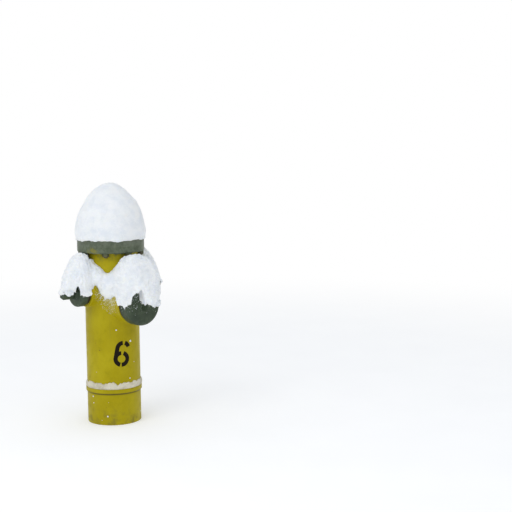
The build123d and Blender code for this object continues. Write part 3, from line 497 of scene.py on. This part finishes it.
FINISHES = {
    "yellow": make_yellow_paint(),
    "bonnet": make_green_paint("bonnet_paint", GREEN_GREY, plain(0.150, 0.175, 0.125), 0.45),
    "pumper_cap": make_cap_paint("pumper_cap_paint", 0.519, 0.040),
    "hose_cap": make_cap_paint("hose_cap_paint", 0.566, 0.030),
    "bronze": make_bronze("bronze", 0.5),
    # Nozzle bronze made nearly black: partly weathering and dirt, partly painted shade of the gap
    # between boss and cap.
    "nozzle": make_bronze(
        "weathered_bronze_and_shade", 0.95, plain(0.055, 0.028, 0.012), plain(0.13, 0.065, 0.025)
    ),
    "steel": make_turned_steel(),
    "bolts": make_bolt_finish(),
    "iron": make_bare_iron(),
    "rubber": make_rubber(),
    "snow": make_snow_finish("snow", plain(0.90, 0.925, 0.95), plain(0.80, 0.84, 0.89), 1.2),
    "old_snow": make_snow_finish("old_snow", plain(0.72, 0.68, 0.55), plain(0.52, 0.48, 0.36), 1.6),
    "stencil": make_stencil_paint(),
}

BY_SLOT = {
    "yellow_paint": "yellow", "green_paint": "bonnet", "bronze": "bronze", "steel": "steel",
    "zinc_steel": "bolts", "cast_iron": "iron", "rubber": "rubber", "snow": "snow",
    "old_snow": "old_snow",
}
BY_NODE = {
    "pumper_cap": "pumper_cap", "left_cap": "hose_cap", "right_cap": "hose_cap",
    "pumper_nozzle": "nozzle", "left_nozzle": "nozzle", "right_nozzle": "nozzle",
}


def dress_nodes():
    """Gives every carried-over node its finish."""
    for entry in frame["record"]["subparts"]:
        node = entry["node"]
        look = FINISHES[BY_NODE.get(node, BY_SLOT[entry["material_slot"]])]
        mesh = frame["nodes"][node].data
        mesh.materials.clear()
        mesh.materials.append(look)


# ---- mesh helpers -----------------------------------------------------------------------------


def nozzle_frame(n):
    """Matrix whose x runs out of a nozzle, whose y runs across it and whose z is up."""
    a = math.radians(n["azimuth"])
    out = Vector((math.cos(a), math.sin(a), 0))
    across = Vector((-math.sin(a), math.cos(a), 0))
    turn = Matrix((out, across, Vector((0, 0, 1)))).transposed()
    return Matrix.Translation((0, 0, n["z"])) @ turn.to_4x4()


def lump(bm, place, centre, radii, turn=0.0, fineness=3, square=1.0, under=1.0):
    """A ball squeezed to its radii; a square below 1 flattens its sides, under its lower half."""
    made = bmesh.ops.create_icosphere(bm, subdivisions=fineness, radius=1.0)["verts"]
    for v in made:
        v.co = [math.copysign(abs(c) ** square, c) for c in v.co]
        if v.co.z < 0:
            v.co.z *= under
    shape = Matrix.Rotation(turn, 4, "Z") @ Matrix.Diagonal((*radii, 1.0))
    bmesh.ops.transform(bm, matrix=place @ Matrix.Translation(centre) @ shape, verts=made)


def lathe(bm, outline, steps, place=Matrix.Identity(4)):
    """Solid turned about z from (radius, height) corners that start and end on the axis."""
    verts = [bm.verts.new((r, 0, z)) for r, z in outline]
    edges = [bm.edges.new(pair) for pair in zip(verts, verts[1:])]
    bmesh.ops.spin(
        bm, geom=verts + edges, cent=(0, 0, 0), axis=(0, 0, 1), angle=2 * math.pi,
        steps=steps, use_merge=True, use_duplicate=False,
    )
    bmesh.ops.remove_doubles(bm, verts=bm.verts, dist=1e-6)
    bmesh.ops.recalc_face_normals(bm, faces=bm.faces)
    bmesh.ops.transform(bm, matrix=place, verts=bm.verts)


def to_object(bm, name):
    """Object at the origin that holds a bmesh."""
    mesh = bpy.data.meshes.new(name)
    bm.to_mesh(mesh)
    bm.free()
    made = bpy.data.objects.new(name, mesh)
    bpy.context.scene.collection.objects.link(made)
    return made


def settle(made):
    """Applies an object's modifiers to its mesh."""
    graph = bpy.context.evaluated_depsgraph_get()
    result = bpy.data.meshes.new_from_object(made.evaluated_get(graph))
    old = made.data
    made.modifiers.clear()
    made.data = result
    bpy.data.meshes.remove(old)


def merge_lumps(made, cell):
    """Melts overlapping lumps into one skin."""
    melt = made.modifiers.new("melt", "REMESH")
    melt.mode = "VOXEL"
    melt.voxel_size = cell
    melt.adaptivity = 0.0
    settle(made)


def roughen(made, layers, passes):
    """Smooths a skin, moves it along its normals by layers of (size, depth) noise, melts it."""
    bm = bmesh.new()
    bm.from_mesh(made.data)
    for _ in range(passes):
        bmesh.ops.smooth_vert(
            bm, verts=bm.verts, factor=0.5, use_axis_x=True, use_axis_y=True, use_axis_z=True
        )
    bm.normal_update()
    moves = []
    for v in bm.verts:
        amount = sum(
            depth * noise.fractal(v.co / size, 0.6, 2.0, 2) for size, depth in layers
        )
        moves.append(v.normal * amount)
    for v, move in zip(bm.verts, moves):
        v.co += move
    bm.to_mesh(made.data)
    bm.free()
    merge_lumps(made, FINE_SHARE * CELL)


def carve(made, tool):
    """Cuts a tool out of a piece and removes the tool."""
    cut = made.modifiers.new("cut", "BOOLEAN")
    cut.operation = "DIFFERENCE"
    cut.solver = "MANIFOLD"
    cut.object = tool
    settle(made)
    bpy.data.objects.remove(tool)


def drop_crumbs(made):
    """Keeps only the largest connected part of a piece."""
    bm = bmesh.new()
    bm.from_mesh(made.data)
    seen, parts = set(), []
    for start in bm.verts:
        if start in seen:
            continue
        part, queue = [], [start]
        seen.add(start)
        while queue:
            v = queue.pop()
            part.append(v)
            for e in v.link_edges:
                other = e.other_vert(v)
                if other not in seen:
                    seen.add(other)
                    queue.append(other)
        parts.append(part)
    parts.sort(key=len)
    for part in parts[:-1]:
        bmesh.ops.delete(bm, geom=part, context="VERTS")
    for f in bm.faces:
        f.smooth = True
    bm.to_mesh(made.data)
    bm.free()


def hand_over(made, look, body, node):
    """Gives a piece its finish, hangs it on its body's empty and hides the node it takes the place
    of.
    """
    made.data.materials.clear()
    made.data.materials.append(FINISHES[look])
    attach(made, body)
    if node:
        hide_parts(node)


# ---- snow -------------------------------------------------------------------------------------
CELL = 0.0028
FINE_SHARE = 0.8
HEAP = (
    (0.0, 1.0190), (0.015, 1.0175), (0.030, 1.0130), (0.046, 1.0050), (0.063, 0.9930),
    (0.077, 0.9800), (0.090, 0.9670), (0.100, 0.9540), (0.108, 0.9415), (0.115, 0.9290),
    (0.123, 0.9155), (0.1295, 0.9020), (0.135, 0.8880), (0.1385, 0.8760), (0.1425, 0.8620),
    (0.146, 0.8500), (0.149, 0.8370), (0.1505, 0.8250), (0.1500, 0.8120), (0.1480, 0.8000),
    (0.1450, 0.7910), (0.1410, 0.7855), (0.130, 0.7820), (0.0, 0.7820),
)
LIP_CLODS = 54


def make_bonnet_snow():
    """The heap on the bonnet, with a wavering lip that overhangs the flange."""
    bm = bmesh.new()
    lathe(bm, HEAP, 128)
    chance = random.Random(11)
    for k in range(LIP_CLODS):
        a = 2 * math.pi * (k + chance.uniform(-0.4, 0.4)) / LIP_CLODS
        size = chance.uniform(0.0045, 0.0085)
        out = FLANGE_R + chance.uniform(0.0005, 0.0025)
        up = 0.7885 + chance.uniform(-0.0020, 0.0025)
        lump(
            bm, Matrix.Rotation(a, 4, "Z"), (out, 0, up),
            (size * 0.7, size * chance.uniform(1.2, 2.6), size), fineness=2,
        )
    made = to_object(bm, "bonnet_snow_heap")
    merge_lumps(made, CELL)
    roughen(made, ((0.080, 0.0040), (0.024, 0.0013), (0.007, 0.0007)), 3)
    carve(made, bonnet_tool())
    drop_crumbs(made)
    hand_over(made, "snow", "hydrant", "bonnet_snow")


def bonnet_tool():
    """What the heap leaves free: flange, bolt heads, dome, neck and the turning nut."""
    g = SNOW_GAP
    bm = bmesh.new()
    lathe(
        bm,
        ((0, 0.70), (FLANGE_R + g, 0.70), (FLANGE_R + g, BONNET_TOP - 0.004),
         (FLANGE_R - 0.003, BONNET_TOP + g), (FLANGE_R - 0.0005, 0.7975 + g),
         (0.118, 0.7975 + g), (0.1205, 0.812), (0.1150, 0.840), (0.1030, 0.862), (0.085, 0.880),
         (0.0465 + g, 0.895),
         (0.0465 + g, 0.932 + g), (PENTAGON_R + g, 0.932 + g), (PENTAGON_R + g, 0.985 + g),
         (0, 0.985 + g)),
        96,
    )
    return to_object(bm, "bonnet_tool")


def cap_tool(n):
    """What a cap's snow leaves free of its boss, cap and wrench nut, and of the barrel."""
    g = SNOW_GAP
    bm = bmesh.new()
    lathe(
        bm,
        ((0, 0.02), (n["boss"] + g, 0.02), (n["boss"] + g, n["face"] + g),
         (n["cap"] + g, n["face"] + g), (n["cap"] + g, n["crown"] - 0.006),
         (n["cap"] - 0.005, n["crown"] + g), (n["hub"] + 0.004 + g, n["crown"] + g),
         (n["hub"] + g, n["hub_top"] + g), (PENTAGON_R + g, n["hub_top"] + g),
         (PENTAGON_R + g, n["nut_end"] + g), (0, n["nut_end"] + g)),
        96,
        place=nozzle_frame(n) @ Matrix.Rotation(math.pi / 2, 4, "Y"),
    )
    return to_object(bm, "cap_tool")


def wall_tool():
    """Barrel, its flange and the nuts under it, grown by the snow's gap."""
    g = SNOW_GAP
    bm = bmesh.new()
    lathe(
        bm,
        ((0, 0.30), (BARREL_R + g, 0.30), (BARREL_R + g, NUT_LOW - 0.0045),
         (FLANGE_R + g, NUT_LOW - 0.0045), (FLANGE_R + g, 0.76), (0, 0.76)),
        128,
    )
    return to_object(bm, "wall_tool")


def split_valley(made, keep_left):
    """Cuts a mound at the crack between the left and the pumper snow and keeps one side."""
    side = 1 if keep_left else -1
    direction = Vector((math.cos(VALLEY_SPLIT), math.sin(VALLEY_SPLIT), 0))
    normal = Vector((direction.y, -direction.x, 0)) * -side
    bm = bmesh.new()
    bm.from_mesh(made.data)
    cut = bmesh.ops.bisect_plane(
        bm, geom=bm.verts[:] + bm.edges[:] + bm.faces[:], dist=1e-6,
        plane_co=-normal * CRACK_HALF, plane_no=normal, clear_outer=True,
    )
    rim = [e for e in cut["geom_cut"] if isinstance(e, bmesh.types.BMEdge)]
    bmesh.ops.holes_fill(bm, edges=rim, sides=0)
    bmesh.ops.recalc_face_normals(bm, faces=bm.faces)
    bm.to_mesh(made.data)
    bm.free()


# sections of a mound, going out: distance from the barrel's axis, height of the ridge over the
# outlet's axis, half of the width, shift across, and height of the foot
HOSE_MOUND = (
    (0.118, 0.142, 0.050, 0.000, -0.008), (0.132, 0.160, 0.058, 0.000, -0.010),
    (0.146, 0.170, 0.062, 0.000, -0.010), (0.160, 0.171, 0.063, 0.000, -0.009),
    (0.173, 0.163, 0.062, 0.000, -0.008), (0.185, 0.150, 0.058, 0.000, 0.000),
    (0.196, 0.134, 0.052, 0.000, 0.008), (0.206, 0.117, 0.045, 0.000, 0.012),
    (0.215, 0.100, 0.039, 0.000, 0.013), (0.223, 0.084, 0.033, 0.000, 0.014),
    (0.229, 0.068, 0.029, 0.000, 0.014), (0.234, 0.052, 0.026, 0.000, 0.014),
    (0.237, 0.038, 0.023, 0.000, 0.014),
)
PUMPER_MOUND = (
    (0.112, 0.176, 0.074, 0.000, 0.020), (0.126, 0.193, 0.082, 0.000, 0.000),
    (0.140, 0.203, 0.086, 0.000, -0.018), (0.154, 0.207, 0.088, 0.000, -0.025),
    (0.168, 0.209, 0.089, 0.000, -0.025), (0.182, 0.208, 0.089, 0.000, -0.025),
    (0.196, 0.203, 0.088, 0.002, -0.022), (0.209, 0.193, 0.086, 0.003, -0.018),
    (0.221, 0.179, 0.082, 0.004, -0.008), (0.232, 0.162, 0.072, 0.006, 0.004),
    (0.242, 0.141, 0.062, 0.008, 0.008), (0.250, 0.119, 0.053, 0.009, 0.008),
    (0.257, 0.096, 0.044, 0.009, 0.008), (0.262, 0.073, 0.036, 0.008, 0.008),
    (0.265, 0.052, 0.030, 0.006, 0.008),
)
# the drift in the valley: azimuth, height of its middle, thickness and half of its height
DRIFT = (
    (190, 0.650, 0.050, 0.056), (195, 0.646, 0.047, 0.051), (200, 0.642, 0.044, 0.047),
    (205, 0.636, 0.041, 0.043), (210, 0.628, 0.038, 0.042), (215, 0.616, 0.035, 0.044),
    (220, 0.604, 0.033, 0.050), (225, 0.598, 0.033, 0.053), (230, 0.596, 0.035, 0.057),
    (235, 0.598, 0.038, 0.062), (240, 0.602, 0.041, 0.066), (245, 0.610, 0.044, 0.068),
    (250, 0.618, 0.047, 0.070),
)


def build_mound(bm, place, sections, centre_rise):
    """A row of flattened balls, one for each section, close enough to melt into one mound."""
    for out, ridge, half, aside, foot in sections:
        middle = foot + centre_rise * (ridge - foot)
        up, down = ridge - middle, middle - foot
        lump(
            bm, place, (out, aside, middle), (0.017, half, up), square=0.76, under=down / up,
            fineness=4,
        )


def build_drift(bm):
    """Snow packed against the barrel between two bosses."""
    for azimuth, z, thick, half in DRIFT:
        a = math.radians(azimuth)
        lump(
            bm, Matrix.Rotation(a, 4, "Z"), (BARREL_R - 0.004, 0, z), (thick, 0.020, half),
            square=0.85,
        )


def make_cap_snow(n, name, sections, rise, fringe, notches, seed, body, node, keep_left=None):
    """Mound over a nozzle and its cap, with ragged clods and points along its foot."""
    bm = bmesh.new()
    place = nozzle_frame(n)
    build_mound(bm, place, sections, rise)
    if keep_left is not None:
        build_drift(bm)
    chance = random.Random(seed)
    for start, end, count, size in fringe:
        for k in range(count):
            t = (k + chance.uniform(0.1, 0.9)) / count
            middle = Vector(start).lerp(Vector(end), t)
            middle += Vector([chance.uniform(-0.003, 0.003) for _ in range(3)])
            s = size * chance.uniform(0.55, 1.15)
            lump(bm, place, middle, (s, s, s * chance.uniform(0.9, 2.4)), fineness=2)
    made = to_object(bm, name)
    merge_lumps(made, CELL)
    roughen(made, ((0.050, 0.0042), (0.018, 0.0032), (0.008, 0.0022)), 3)
    drop_crumbs(made)
    for centre, radii, turn in notches:
        bm = bmesh.new()
        lump(bm, place, centre, radii, turn)
        carve(made, to_object(bm, "notch"))
    carve(made, cap_tool(n))
    carve(made, wall_tool())
    if keep_left is not None:
        other = PUMPER if keep_left else LEFT
        carve(made, cap_tool(other))
        split_valley(made, keep_left)
    drop_crumbs(made)
    hand_over(made, "snow", body, node)


def make_collar_snow():
    """Old snow that has packed down on the collar's ledge."""
    bm = bmesh.new()
    low = COLLAR_TOP + 0.0003
    inner = BARREL_R + 0.0004
    outline = [
        (inner, low), (inner + 0.0045, low), (inner + 0.0068, low + 0.004),
        (inner + 0.0075, low + 0.010), (inner + 0.0074, low + 0.016), (inner + 0.0066, low + 0.022),
        (inner + 0.0050, low + 0.027), (inner + 0.0025, low + 0.031), (inner, low + 0.0325),
    ]
    verts = [bm.verts.new((r, 0, z)) for r, z in outline]
    edges = [bm.edges.new(pair) for pair in zip(verts, verts[1:] + verts[:1])]
    bmesh.ops.spin(
        bm, geom=verts + edges, cent=(0, 0, 0), axis=(0, 0, 1), angle=2 * math.pi,
        steps=300, use_merge=True, use_duplicate=False,
    )
    bmesh.ops.remove_doubles(bm, verts=bm.verts, dist=1e-6)
    bmesh.ops.recalc_face_normals(bm, faces=bm.faces)
    for v in bm.verts:
        a = math.atan2(v.co.y, v.co.x)
        spot = Vector((math.cos(a) * 3.2, math.sin(a) * 3.2, 0.0))
        lift = 0.80 + 0.30 * noise.noise(spot) + 0.22 * noise.noise(spot * 3.7)
        thick = 0.72 + 0.25 * noise.noise(spot * 2.1 + Vector((4, 0, 0)))
        thick += 0.22 * noise.noise(v.co / 0.008) + 0.12 * noise.noise(v.co / 0.0035)
        out = math.hypot(v.co.x, v.co.y)
        grown = inner + max(0.0, out - inner) * max(0.25, thick)
        v.co.x *= grown / out
        v.co.y *= grown / out
        rise = v.co.z - low
        ripple = 0.0012 * noise.noise(v.co / 0.005) if rise > 0.02 else 0
        v.co.z = low + rise * max(0.35, lift) + ripple
    for f in bm.faces:
        f.smooth = True
    made = to_object(bm, "collar_snow_ring")
    hand_over(made, "old_snow", "hydrant", "collar_snow")


OUTLET_AZIMUTHS = (0, 180, 270)
OUTLET_SPREAD = 50
OUTLET_LOW = 0.42
COLLAR_SNOW_TOP = 0.195
STRAY_SPECKS = 34


def make_specks():
    """Crumbs of snow that stick to the barrel and the base."""
    bm = bmesh.new()
    chance = random.Random(5)
    known = ((242, 0.408, 0.0036), (274, 0.356, 0.0048), (271, 0.197, 0.0026), (184, 0.120, 0.0030),
             (185, 0.092, 0.0024), (220, 0.039, 0.0034))
    spots = list(known)
    for _ in range(STRAY_SPECKS):
        azimuth, z = chance.uniform(0, 360), chance.uniform(0.012, 0.70)
        spots.append((azimuth, z, chance.uniform(0.0008, 0.0022)))
    for azimuth, z, size in spots:
        a = math.radians(azimuth)
        nearest = min(abs((azimuth - b + 180) % 360 - 180) for b in OUTLET_AZIMUTHS)
        if z > OUTLET_LOW and nearest < OUTLET_SPREAD:
            continue
        if SEAM_LOW < z < COLLAR_SNOW_TOP:
            continue
        lump(
            bm, Matrix.Rotation(a, 4, "Z"), (BARREL_R + size * 0.18, 0, z),
            (size * 0.5, size * chance.uniform(0.8, 1.5), size), fineness=2,
        )
    for v in bm.verts:
        v.co += v.co.normalized() * 0.0004 * noise.noise(v.co / 0.002)
    for f in bm.faces:
        f.smooth = True
    made = to_object(bm, "snow_specks")
    hand_over(made, "snow", "hydrant", None)


# ---- the stencilled numeral -------------------------------------------------------------------
STROKE = 0.0175
NUMERAL_Z = 0.3050
NUMERAL_AZIMUTH = 254.6
NUMERAL_TILT = math.radians(-8.5)


def stroke(bm, points, width):
    """A flat band of the stencil's width along points, with square ends."""
    row = None
    for k, p in enumerate(points):
        before = Vector(points[max(k - 1, 0)])
        after = Vector(points[min(k + 1, len(points) - 1)])
        along = (after - before).normalized()
        side = Vector((-along.y, along.x)) * width / 2
        spots = (Vector(p) + side, Vector(p) - side)
        if row is None:
            row = bm.edges.new([bm.verts.new((s.x, 0, s.y)) for s in spots])
        else:
            made = bmesh.ops.extrude_edge_only(bm, edges=[row])["geom"]
            row = next(g for g in made if isinstance(g, bmesh.types.BMEdge))
            for v, s in zip(row.verts, spots):
                v.co = (s.x, 0, s.y)


def arc(centre, radii, start, end, count=18):
    """Points along part of an ellipse, its angles in degrees from the right, upwards."""
    return [
        (
            centre[0] + radii[0] * math.cos(math.radians(start + (end - start) * k / count)),
            centre[1] + radii[1] * math.sin(math.radians(start + (end - start) * k / count)),
        )
        for k in range(count + 1)
    ]


def make_numeral():
    """A stencilled six, in three pieces with the stencil's bridges between them."""
    top, top_r = (0.0, 0.022), (0.025, 0.025)
    bowl, bowl_r = (-0.0015, -0.0215), (0.026, 0.0250)
    bm = bmesh.new()
    stroke(bm, arc(bowl, bowl_r, 263, 184, 16) + arc(top, top_r, 176, 101, 16), STROKE)
    stroke(bm, arc(top, top_r, 79, 24, 10), STROKE)
    stroke(bm, arc(bowl, bowl_r, 78, -83, 30), STROKE)
    serif = arc(bowl, bowl_r, 101, 160, 12)
    stroke(bm, serif, STROKE - 0.001)
    bmesh.ops.subdivide_edges(bm, edges=bm.edges, cuts=1, use_grid_fill=True)
    grown = bmesh.ops.extrude_face_region(bm, geom=bm.faces[:])["geom"]
    outer = {g for g in grown if isinstance(g, bmesh.types.BMVert)}
    middle = math.radians(NUMERAL_AZIMUTH)
    lean = Matrix.Rotation(NUMERAL_TILT, 4, Vector((0, -1, 0)))
    for v in bm.verts:
        radius = BARREL_R + (0.00045 if v in outer else 0.00005)
        spot = lean @ v.co
        a = middle + spot.x / BARREL_R
        v.co = (radius * math.cos(a), radius * math.sin(a), NUMERAL_Z + spot.z)
    bmesh.ops.recalc_face_normals(bm, faces=bm.faces)
    made = to_object(bm, "stencil_numeral")
    hand_over(made, "stencil", "hydrant", None)


# ---- floor, light and camera ------------------------------------------------------------------


FLOOR_HALF = 90.0
FADE_START = 1.6
FADE_END = 5.0
LAMP_AIM = Vector((0, 0, 0.55))


def make_stage():
    """Pale floor that fades to white far out, white surroundings and two soft lamps."""
    made, tree, shader, where = finish("pale_floor")
    tone = speckle(tree, where, 3.0, 3.0)
    colour = tint(tree, tone, plain(0.78, 0.79, 0.80), plain(0.84, 0.845, 0.85))
    tree.links.new(colour, shader.inputs["Base Color"])
    shader.inputs["Roughness"].default_value = 0.9
    shader.inputs["Emission Color"].default_value = plain(1.0, 1.0, 1.0)
    shader.inputs["Emission Strength"].default_value = 0.26
    glow = add(tree, "ShaderNodeEmission", {"Color": plain(1.0, 1.0, 1.0), "Strength": 1.0})
    flat = add(tree, "ShaderNodeVectorMath", {0: where}, operation="LENGTH").outputs["Value"]
    both = add(tree, "ShaderNodeMixShader", {0: ramp(tree, flat, FADE_START, FADE_END)})
    tree.links.new(shader.outputs[0], both.inputs[1])
    tree.links.new(glow.outputs[0], both.inputs[2])
    tree.links.new(both.outputs[0], tree.nodes["Material Output"].inputs["Surface"])
    bm = bmesh.new()
    bmesh.ops.create_grid(bm, x_segments=1, y_segments=1, size=FLOOR_HALF)
    floor = to_object(bm, "floor")
    floor.data.materials.append(made)
    world = bpy.data.worlds.new("studio")
    bpy.context.scene.world = world
    world.use_nodes = True
    tree = world.node_tree
    seen = add(tree, "ShaderNodeLightPath").outputs["Is Camera Ray"]
    way = add(tree, "ShaderNodeTexCoord").outputs["Generated"]
    rise = add(tree, "ShaderNodeSeparateXYZ", {"Vector": way}).outputs["Z"]
    sky = ramp(tree, rise, 0.0, 0.9, 0.50, 0.86)
    strength = add(tree, "ShaderNodeMix", {0: seen, 2: sky, 3: 1.0}, data_type="FLOAT")
    back = tree.nodes["Background"]
    tree.links.new(
        tint(tree, seen, plain(0.95, 0.97, 1.0), plain(1.0, 1.0, 1.0)), back.inputs["Color"]
    )
    tree.links.new(strength.outputs[0], back.inputs["Strength"])
    for name, spot, power, size in (
        ("key", (-3.2, -1.0, 3.5), 46.0, 2.8),
        ("fill", (-0.8, -4.0, 2.4), 9.0, 3.0),
    ):
        lamp = bpy.data.lights.new(name, "AREA")
        lamp.energy = power
        lamp.size = size
        holder = bpy.data.objects.new(name, lamp)
        holder.location = spot
        aim = LAMP_AIM - Vector(spot)
        holder.rotation_mode = "QUATERNION"
        holder.rotation_quaternion = aim.to_track_quat("-Z", "Y")
        bpy.context.scene.collection.objects.link(holder)


def make_camera():
    """Eye-height camera to the left of the pumper outlet, the hydrant left of its centre."""
    distance, height, azimuth = 4.70, 1.219, math.radians(235.0)
    aside, down, roll = math.radians(-7.553), math.radians(-6.325), math.radians(0.57)
    spot = Vector((distance * math.cos(azimuth), distance * math.sin(azimuth), height))
    heading = azimuth + math.pi + aside
    level = math.cos(down)
    ahead = Vector((math.cos(heading) * level, math.sin(heading) * level, math.sin(down)))
    right = ahead.cross(Vector((0, 0, 1))).normalized()
    up = right.cross(ahead)
    right, up = (
        right * math.cos(roll) - up * math.sin(roll),
        right * math.sin(roll) + up * math.cos(roll),
    )
    lens = bpy.data.cameras.new("camera")
    lens.sensor_width = 36.0
    lens.lens = 77.34
    lens.clip_end = 200.0
    holder = bpy.data.objects.new("camera", lens)
    turn = Matrix((right, up, -ahead)).transposed()
    holder.matrix_world = Matrix.Translation(spot) @ turn.to_4x4()
    bpy.context.scene.collection.objects.link(holder)
    bpy.context.scene.camera = holder


make_camera()
make_stage()
dress_nodes()
make_bonnet_snow()
make_cap_snow(
    PUMPER, "pumper_snow_mound", PUMPER_MOUND, 0.35,
    (((0.165, -0.087, 0.016), (0.226, -0.084, 0.014), 12, 0.010),
     ((0.226, -0.078, 0.018), (0.234, -0.062, 0.026), 4, 0.010),
     ((0.246, -0.016, 0.040), (0.262, -0.012, 0.026), 4, 0.006),
     ((0.250, -0.022, 0.018), (0.272, -0.018, 0.012), 5, 0.006),
     ((0.274, -0.012, 0.016), (0.274, 0.020, 0.010), 5, 0.006),
     ((0.250, 0.025, 0.002), (0.272, 0.024, 0.004), 6, 0.007),
     ((0.236, 0.034, 0.008), (0.232, 0.076, 0.000), 9, 0.008),
     ((0.215, 0.086, 0.004), (0.165, 0.088, 0.004), 9, 0.008)),
    (((0.245, -0.050, 0.000), (0.034, 0.024, 0.062), 0.0),
     ((0.245, -0.036, 0.006), (0.034, 0.014, 0.074), 0.0)),
    21, "pumper_cap_travel", "pumper_cap_snow", keep_left=False,
)
make_cap_snow(
    LEFT, "left_snow_mound", HOSE_MOUND, 0.22,
    (((0.142, 0.060, 0.004), (0.184, 0.056, 0.002), 9, 0.007),
     ((0.188, 0.048, 0.006), (0.196, 0.030, 0.012), 6, 0.006),
     ((0.210, 0.0240, 0.010), (0.248, 0.0240, 0.006), 9, 0.0085),
     ((0.2525, 0.017, 0.010), (0.2525, -0.016, 0.012), 6, 0.0080),
     ((0.206, -0.0225, 0.006), (0.246, -0.0225, 0.006), 10, 0.006),
     ((0.184, -0.056, 0.004), (0.142, -0.060, 0.000), 8, 0.007)),
    (((0.200, 0.044, 0.002), (0.046, 0.010, 0.036), math.radians(55)),),
    22, "left_cap_travel", "left_cap_snow", keep_left=True,
)
make_cap_snow(
    RIGHT, "right_snow_mound", HOSE_MOUND, 0.22,
    (((0.142, 0.060, 0.002), (0.184, 0.056, 0.004), 9, 0.007),
     ((0.210, 0.0240, 0.010), (0.248, 0.0240, 0.008), 9, 0.0080),
     ((0.2525, 0.016, 0.012), (0.2525, -0.016, 0.010), 6, 0.0075),
     ((0.206, -0.0225, 0.006), (0.246, -0.0225, 0.006), 9, 0.006),
     ((0.184, -0.056, 0.004), (0.142, -0.060, 0.000), 8, 0.007)),
    (),
    23, "right_cap_travel", "right_cap_snow",
)
make_collar_snow()
make_specks()
make_numeral()
bpy.context.scene.view_settings.view_transform = "Standard"
